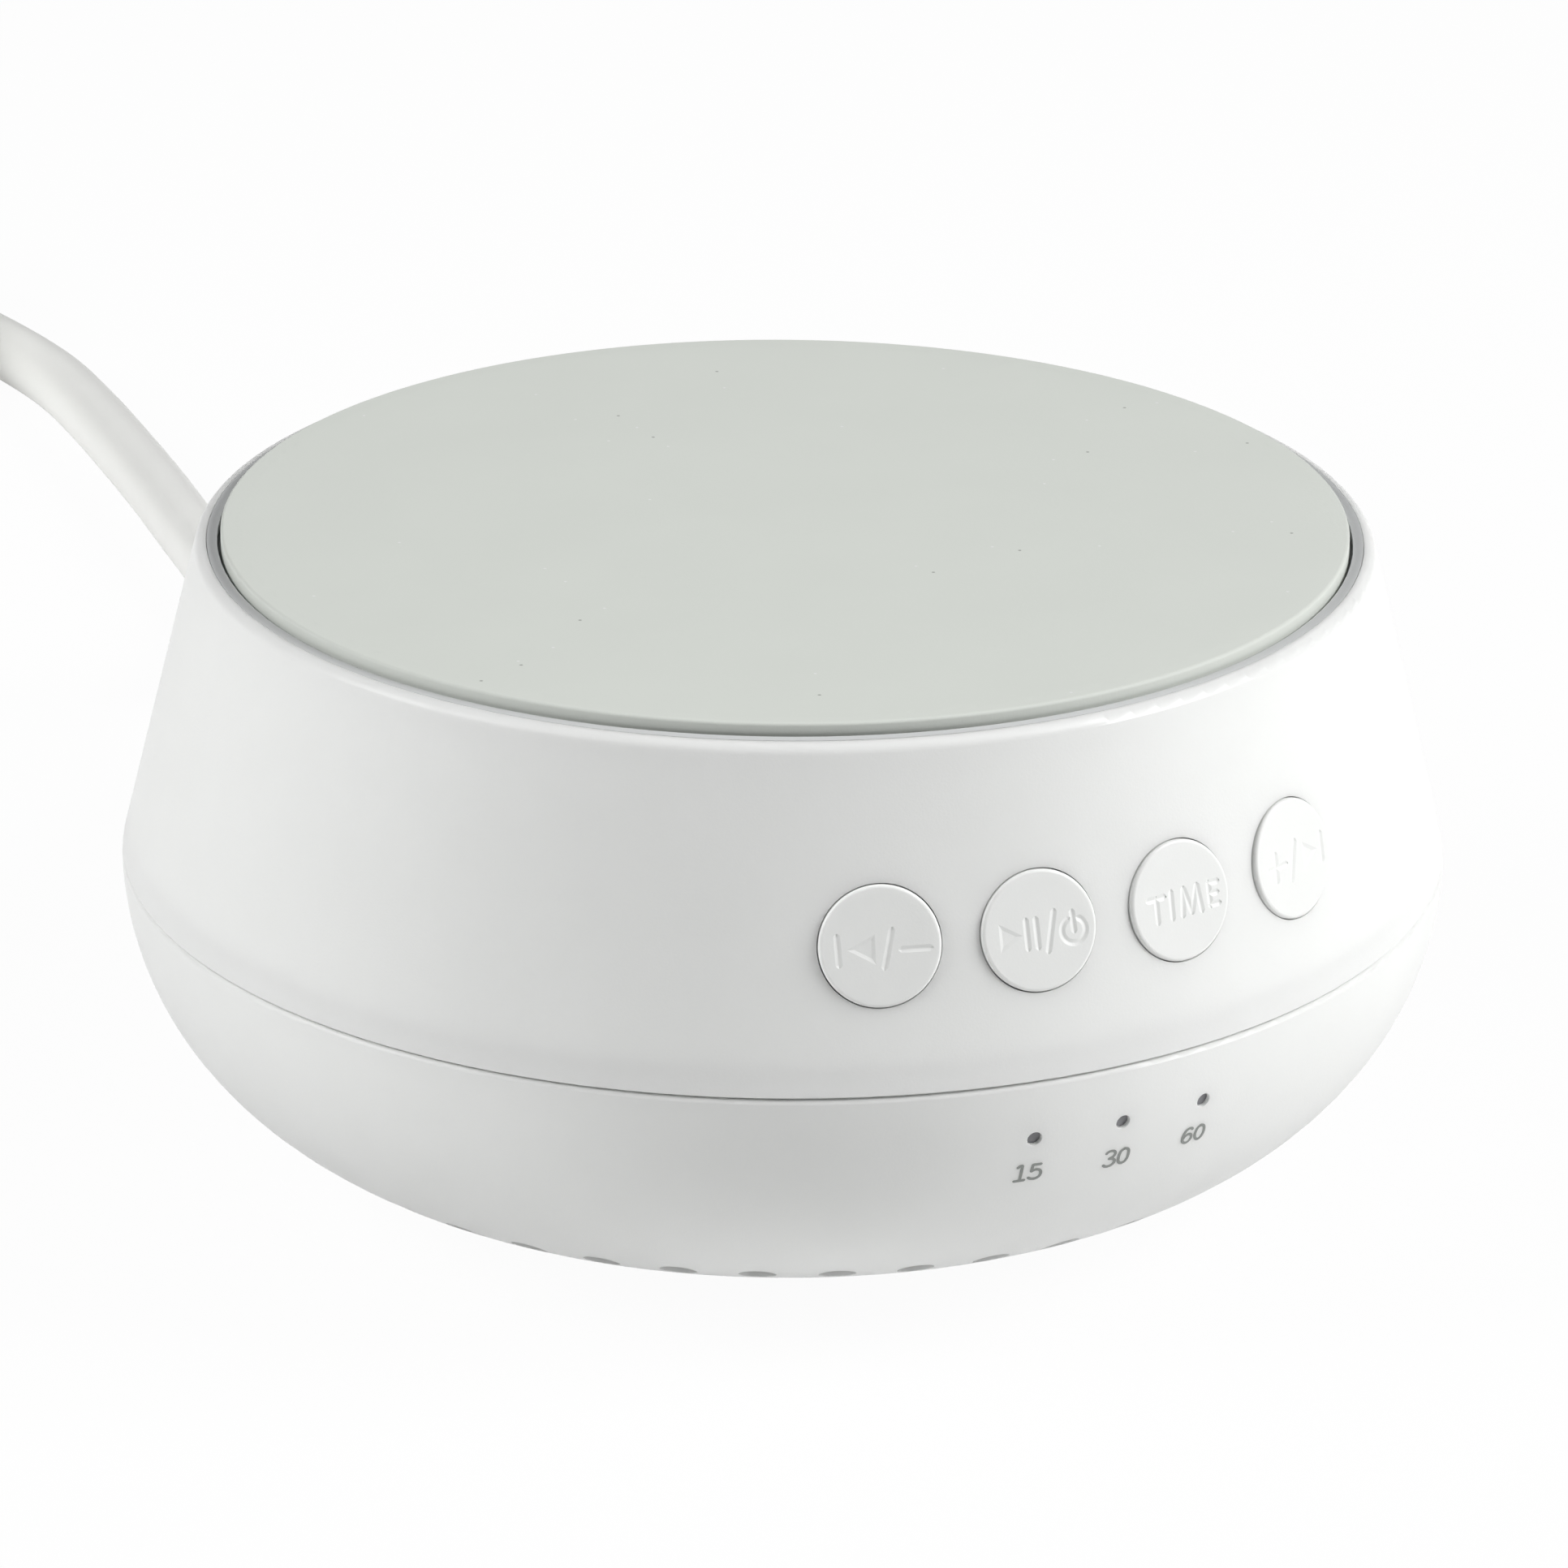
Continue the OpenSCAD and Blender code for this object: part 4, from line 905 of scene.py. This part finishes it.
def plug_mesh(place, way):
    """Flat plug body with a ribbed neck and hollowed grips."""
    rings = [plug_ring(place, way, 0.0, 7.6, 7.6, 2)]
    for k in range(NECK_RIBS):
        start = NECK_START + k * NECK_LENGTH / NECK_RIBS
        for reach, extra in RIB_RINGS:
            wide = NECK_WIDTH + k * NECK_GROWTH + extra
            rings.append(plug_ring(place, way, start + reach, wide, wide * NECK_FLATNESS,
                                   NECK_SQUARENESS))
    rings += [plug_ring(place, way, *ring) for ring in PLUG_RINGS]
    return mesh_of_rings("moulded_plug", rings)


class SOUNDMACHINE_OT_case(Operator):
    """Finish the two white shells, the tray's rim, the feet and the screws"""
    bl_idname = "sound_machine.case"
    bl_label = "Case, tray and feet"

    def execute(self, context):
        finish_for("white_plastic", sizes("case").shell)
        finish_for("tray_plastic", sizes("case").tray)
        dress("upper_housing", "lower_housing", "top_carrier", "rubber_feet", "case_screws")
        return {"FINISHED"}


CROWN_RINGS = 24


class SOUNDMACHINE_OT_pad(Operator):
    """Model the soft silicone pad in its tray"""
    bl_idname = "sound_machine.pad"
    bl_label = "Soft pad"

    def execute(self, context):
        shape = sizes("pad")
        low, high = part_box("top_pad")
        radius = high.x
        edge = shape.edge_round
        bottom, top = low.z, high.z
        under = [(radius * 0.02, bottom), (radius * 0.6, bottom), (radius - 0.5 * MM, bottom)]
        side = [(radius - 0.15 * MM, bottom + 0.1 * MM), (radius, bottom + 0.4 * MM)]
        round_over = arc(radius - edge, top - edge, edge, 0, pi / 2, 10)
        inner = radius - edge
        shares = [1 - k / CROWN_RINGS for k in range(1, CROWN_RINGS)]
        crown = [(inner * share, top - shape.dish * (1 - share ** 2) ** 2) for share in shares]
        pad = new_piece("soft_pad", lathe("soft_pad", under + side + round_over + crown, 256),
                        "soft_pad", "case", finish_for("soft_pad", shape.colour))
        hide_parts("top_pad")
        return {"FINISHED"}


class SOUNDMACHINE_OT_buttons(Operator):
    """Cut the marks into the four caps, and finish the switches behind them"""
    bl_idname = "sound_machine.buttons"
    bl_label = "Buttons and switches"

    def execute(self, context):
        finish_for("white_caps", sizes("case").shell)
        for number, (body, marks) in enumerate(zip(KEYS, MARKS)):
            node = body.replace("_key", "_button")
            cap = new_piece(body.replace("_key", "_cap"), marked_cap(node, number, *marks()),
                            "white_caps", body)
            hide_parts(node)
        dress(*(n for n in NODES if n.endswith("_plunger")))
        dress("tact_switches", "key_board", "key_bracket", "bracket_screws", "key_ribbon")
        return {"FINISHED"}


def inset(corners, reach):
    """The corners of a triangle, with its three sides moved inward."""
    spots = [Vector(p) for p in corners]
    sides = [(spots[1] - spots[2]).length, (spots[2] - spots[0]).length,
             (spots[0] - spots[1]).length]
    around = sum(sides)
    middle = sum((spot * side for spot, side in zip(spots, sides)), Vector((0, 0))) / around
    area = abs((spots[1] - spots[0]).cross(spots[2] - spots[0])) / 2
    share = 1 - reach * around / (2 * area)
    return [middle.lerp(spot, share) for spot in spots]


GROOVE_FLOOR = 0.04    # half the width of a groove's floor, in millimetres
CUTTER_OVER = 0.1      # height of the cutter above the cap's face, in millimetres
FACE_LEAN = radians(36)    # a cap's faces that lean less than this are shaded flat


def marked_cap(node, number, lines, corners):
    """The mesh of a cap, with its marks cut into the face as shallow V-grooves and pockets."""
    mark = sizes("mark")
    half, deep, over = mark.groove / MM / 2, mark.depth / MM, CUTTER_OVER
    matrix = key_place(number)

    def place(x, y, out):
        return matrix @ Vector((x * MM, y * MM, out * MM))

    section = ((-half, over), (half, over), (half, 0), (GROOVE_FLOOR, -deep),
               (-GROOVE_FLOOR, -deep), (-half, 0))
    tubes = [sweep(line, section, place) for line in lines]
    for ring in corners:
        tubes.append([[place(x, y, out) for x, y in spots]
                      for spots, out in ((inset(ring, half), -deep), (ring, 0), (ring, over))])
    cutter = bpy.data.objects.new("groove_cutter", mesh_of_tubes("groove_cutter", tubes))
    blank = bpy.data.objects.new("cap_blank", NODES[node].data.copy())
    for made in (cutter, blank):
        bpy.context.scene.collection.objects.link(made)
    cut = blank.modifiers.new("marks", "BOOLEAN")
    cut.operation, cut.solver, cut.use_self, cut.object = "DIFFERENCE", "EXACT", True, cutter
    mesh = bpy.data.meshes.new_from_object(
        blank.evaluated_get(bpy.context.evaluated_depsgraph_get()))
    for made in (blank, cutter):
        bpy.data.objects.remove(made)
    outward_axis = matrix.to_3x3() @ Vector((0, 0, 1))
    for face in mesh.polygons:
        face.use_smooth = face.normal.dot(outward_axis) < cos(FACE_LEAN)
    return mesh


class SOUNDMACHINE_OT_lights(Operator):
    """Finish the smoked windows and lamps, and print their numbers below them"""
    bl_idname = "sound_machine.lights"
    bl_label = "Timer lights and numbers"

    def execute(self, context):
        finish_for("smoke_window", sizes("case").window)
        dress("timer_light_pipe", "timer_leds", "led_board", "led_ribbon")
        ink = printed_ink("number_ink", tuple(sizes("mark").ink)).material
        for side, (minutes, lines) in zip((-1, 0, 1), NUMBERS.items()):
            name = "number_" + minutes
            new_piece(name, number_mesh(name, side, lines), "black_plastic", "case", ink)
        return {"FINISHED"}


INK_SUNK = 0.05    # how deep the ink's back lies in the wall, in millimetres
INK_STEPS = 5


def number_mesh(name, side, lines):
    """Flat printed lines that follow the flank below a light."""
    case, mark = sizes("case"), sizes("mark")
    half, thick = mark.line / MM / 2, mark.ink_height / MM

    def place(x, y, out):
        return on_flank(side * case.light_pitch, case.light_drop, x * MM,
                        y * MM - mark.ink_drop, out * MM)

    section = ((-half, thick), (half, thick), (half, -INK_SUNK), (-half, -INK_SUNK))
    return mesh_of_tubes(name, [sweep(smooth_path([Vector(p) for p in line], INK_STEPS),
                                      section, place) for line in lines], smooth=False)


def flexing_ring(name, node, inner, outer):
    """A finished copy of the frame's ring, which takes the place of the frame's own piece; its
    corners are laid out by their radius for a moment and then put back where they were.

    The inner and outer radii are not used."""
    mesh = NODES[node].data.copy()
    ring = bpy.data.objects.new(name, mesh)
    bpy.context.scene.collection.objects.link(ring)
    mesh.materials.clear()
    mesh.materials.append(finish_for(SLOT_OF[node]))
    places = [corner.co.copy() for corner in mesh.vertices]
    for corner in mesh.vertices:
        corner.co = (corner.co.xy.length, 0, corner.co.z)
    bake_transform(ring)
    for corner, place in zip(mesh.vertices, places):
        corner.co = place
    mesh.update()
    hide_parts(node)


class SOUNDMACHINE_OT_loudspeaker(Operator):
    """Finish the loudspeaker, its baffle and its leads, and put finished copies of its surround and
    spider in place of the frame's
    """
    bl_idname = "sound_machine.loudspeaker"
    bl_label = "Loudspeaker"

    def execute(self, context):
        dress("speaker_baffle", "baffle_screws", "speaker_gasket", "speaker_frame",
              "speaker_screws", "speaker_top_plate", "speaker_magnet", "speaker_yoke",
              "speaker_cone", "dust_cap", "voice_coil", "speaker_terminals", "speaker_leads")
        shape = sizes("loudspeaker")
        flexing_ring("rubber_surround", "cone_surround", shape.cone_edge, shape.roll_edge)
        flexing_ring("cloth_spider", "cone_spider", shape.coil_edge, shape.spider_edge)
        return {"FINISHED"}


class SOUNDMACHINE_OT_main_board(Operator):
    """Finish the main board, its parts and the lead's clamp"""
    bl_idname = "sound_machine.main_board"
    bl_label = "Main board and clamp"

    def execute(self, context):
        dress("main_board", "board_screws", "transformer", "capacitors", "board_chips",
              "board_connectors", "mains_leads", "cord_clamp", "clamp_screws")
        return {"FINISHED"}


STEPS = (SOUNDMACHINE_OT_studio, SOUNDMACHINE_OT_lead, SOUNDMACHINE_OT_case,
         SOUNDMACHINE_OT_pad, SOUNDMACHINE_OT_buttons, SOUNDMACHINE_OT_lights,
         SOUNDMACHINE_OT_loudspeaker, SOUNDMACHINE_OT_main_board)
GROUPS = {"case": CaseSizes, "pad": PadSizes, "mark": MarkSizes,
          "loudspeaker": LoudspeakerSizes, "lead": LeadSizes, "studio": StudioSettings}


class SOUNDMACHINE_PT_sidebar(Panel):
    """The steps that dress the machine, and their sizes"""
    bl_idname = "SOUNDMACHINE_PT_sidebar"
    bl_label = "Sound Machine"
    bl_space_type = "VIEW_3D"
    bl_region_type = "UI"
    bl_category = "Sound Machine"

    def draw(self, context):
        for step in STEPS:
            self.layout.operator(step.bl_idname)
        for group, kind in GROUPS.items():
            box = self.layout.box()
            for name in kind.__annotations__:
                box.prop(sizes(group), name)


def register():
    """Registers the property groups, the operators and the panel."""
    for group, kind in GROUPS.items():
        bpy.utils.register_class(kind)
        setattr(bpy.types.Scene, "sound_machine_" + group, PointerProperty(type=kind))
    for kind in (*STEPS, SOUNDMACHINE_PT_sidebar):
        bpy.utils.register_class(kind)


def unregister():
    """Takes them out again."""
    for kind in (SOUNDMACHINE_PT_sidebar, *reversed(STEPS)):
        bpy.utils.unregister_class(kind)
    for group, kind in GROUPS.items():
        delattr(bpy.types.Scene, "sound_machine_" + group)
        bpy.utils.unregister_class(kind)


def main():
    """Runs every step in order."""
    register()
    for step in STEPS:
        namespace, name = step.bl_idname.split(".")
        getattr(getattr(bpy.ops, namespace), name)()


if __name__ == "__main__":
    main()
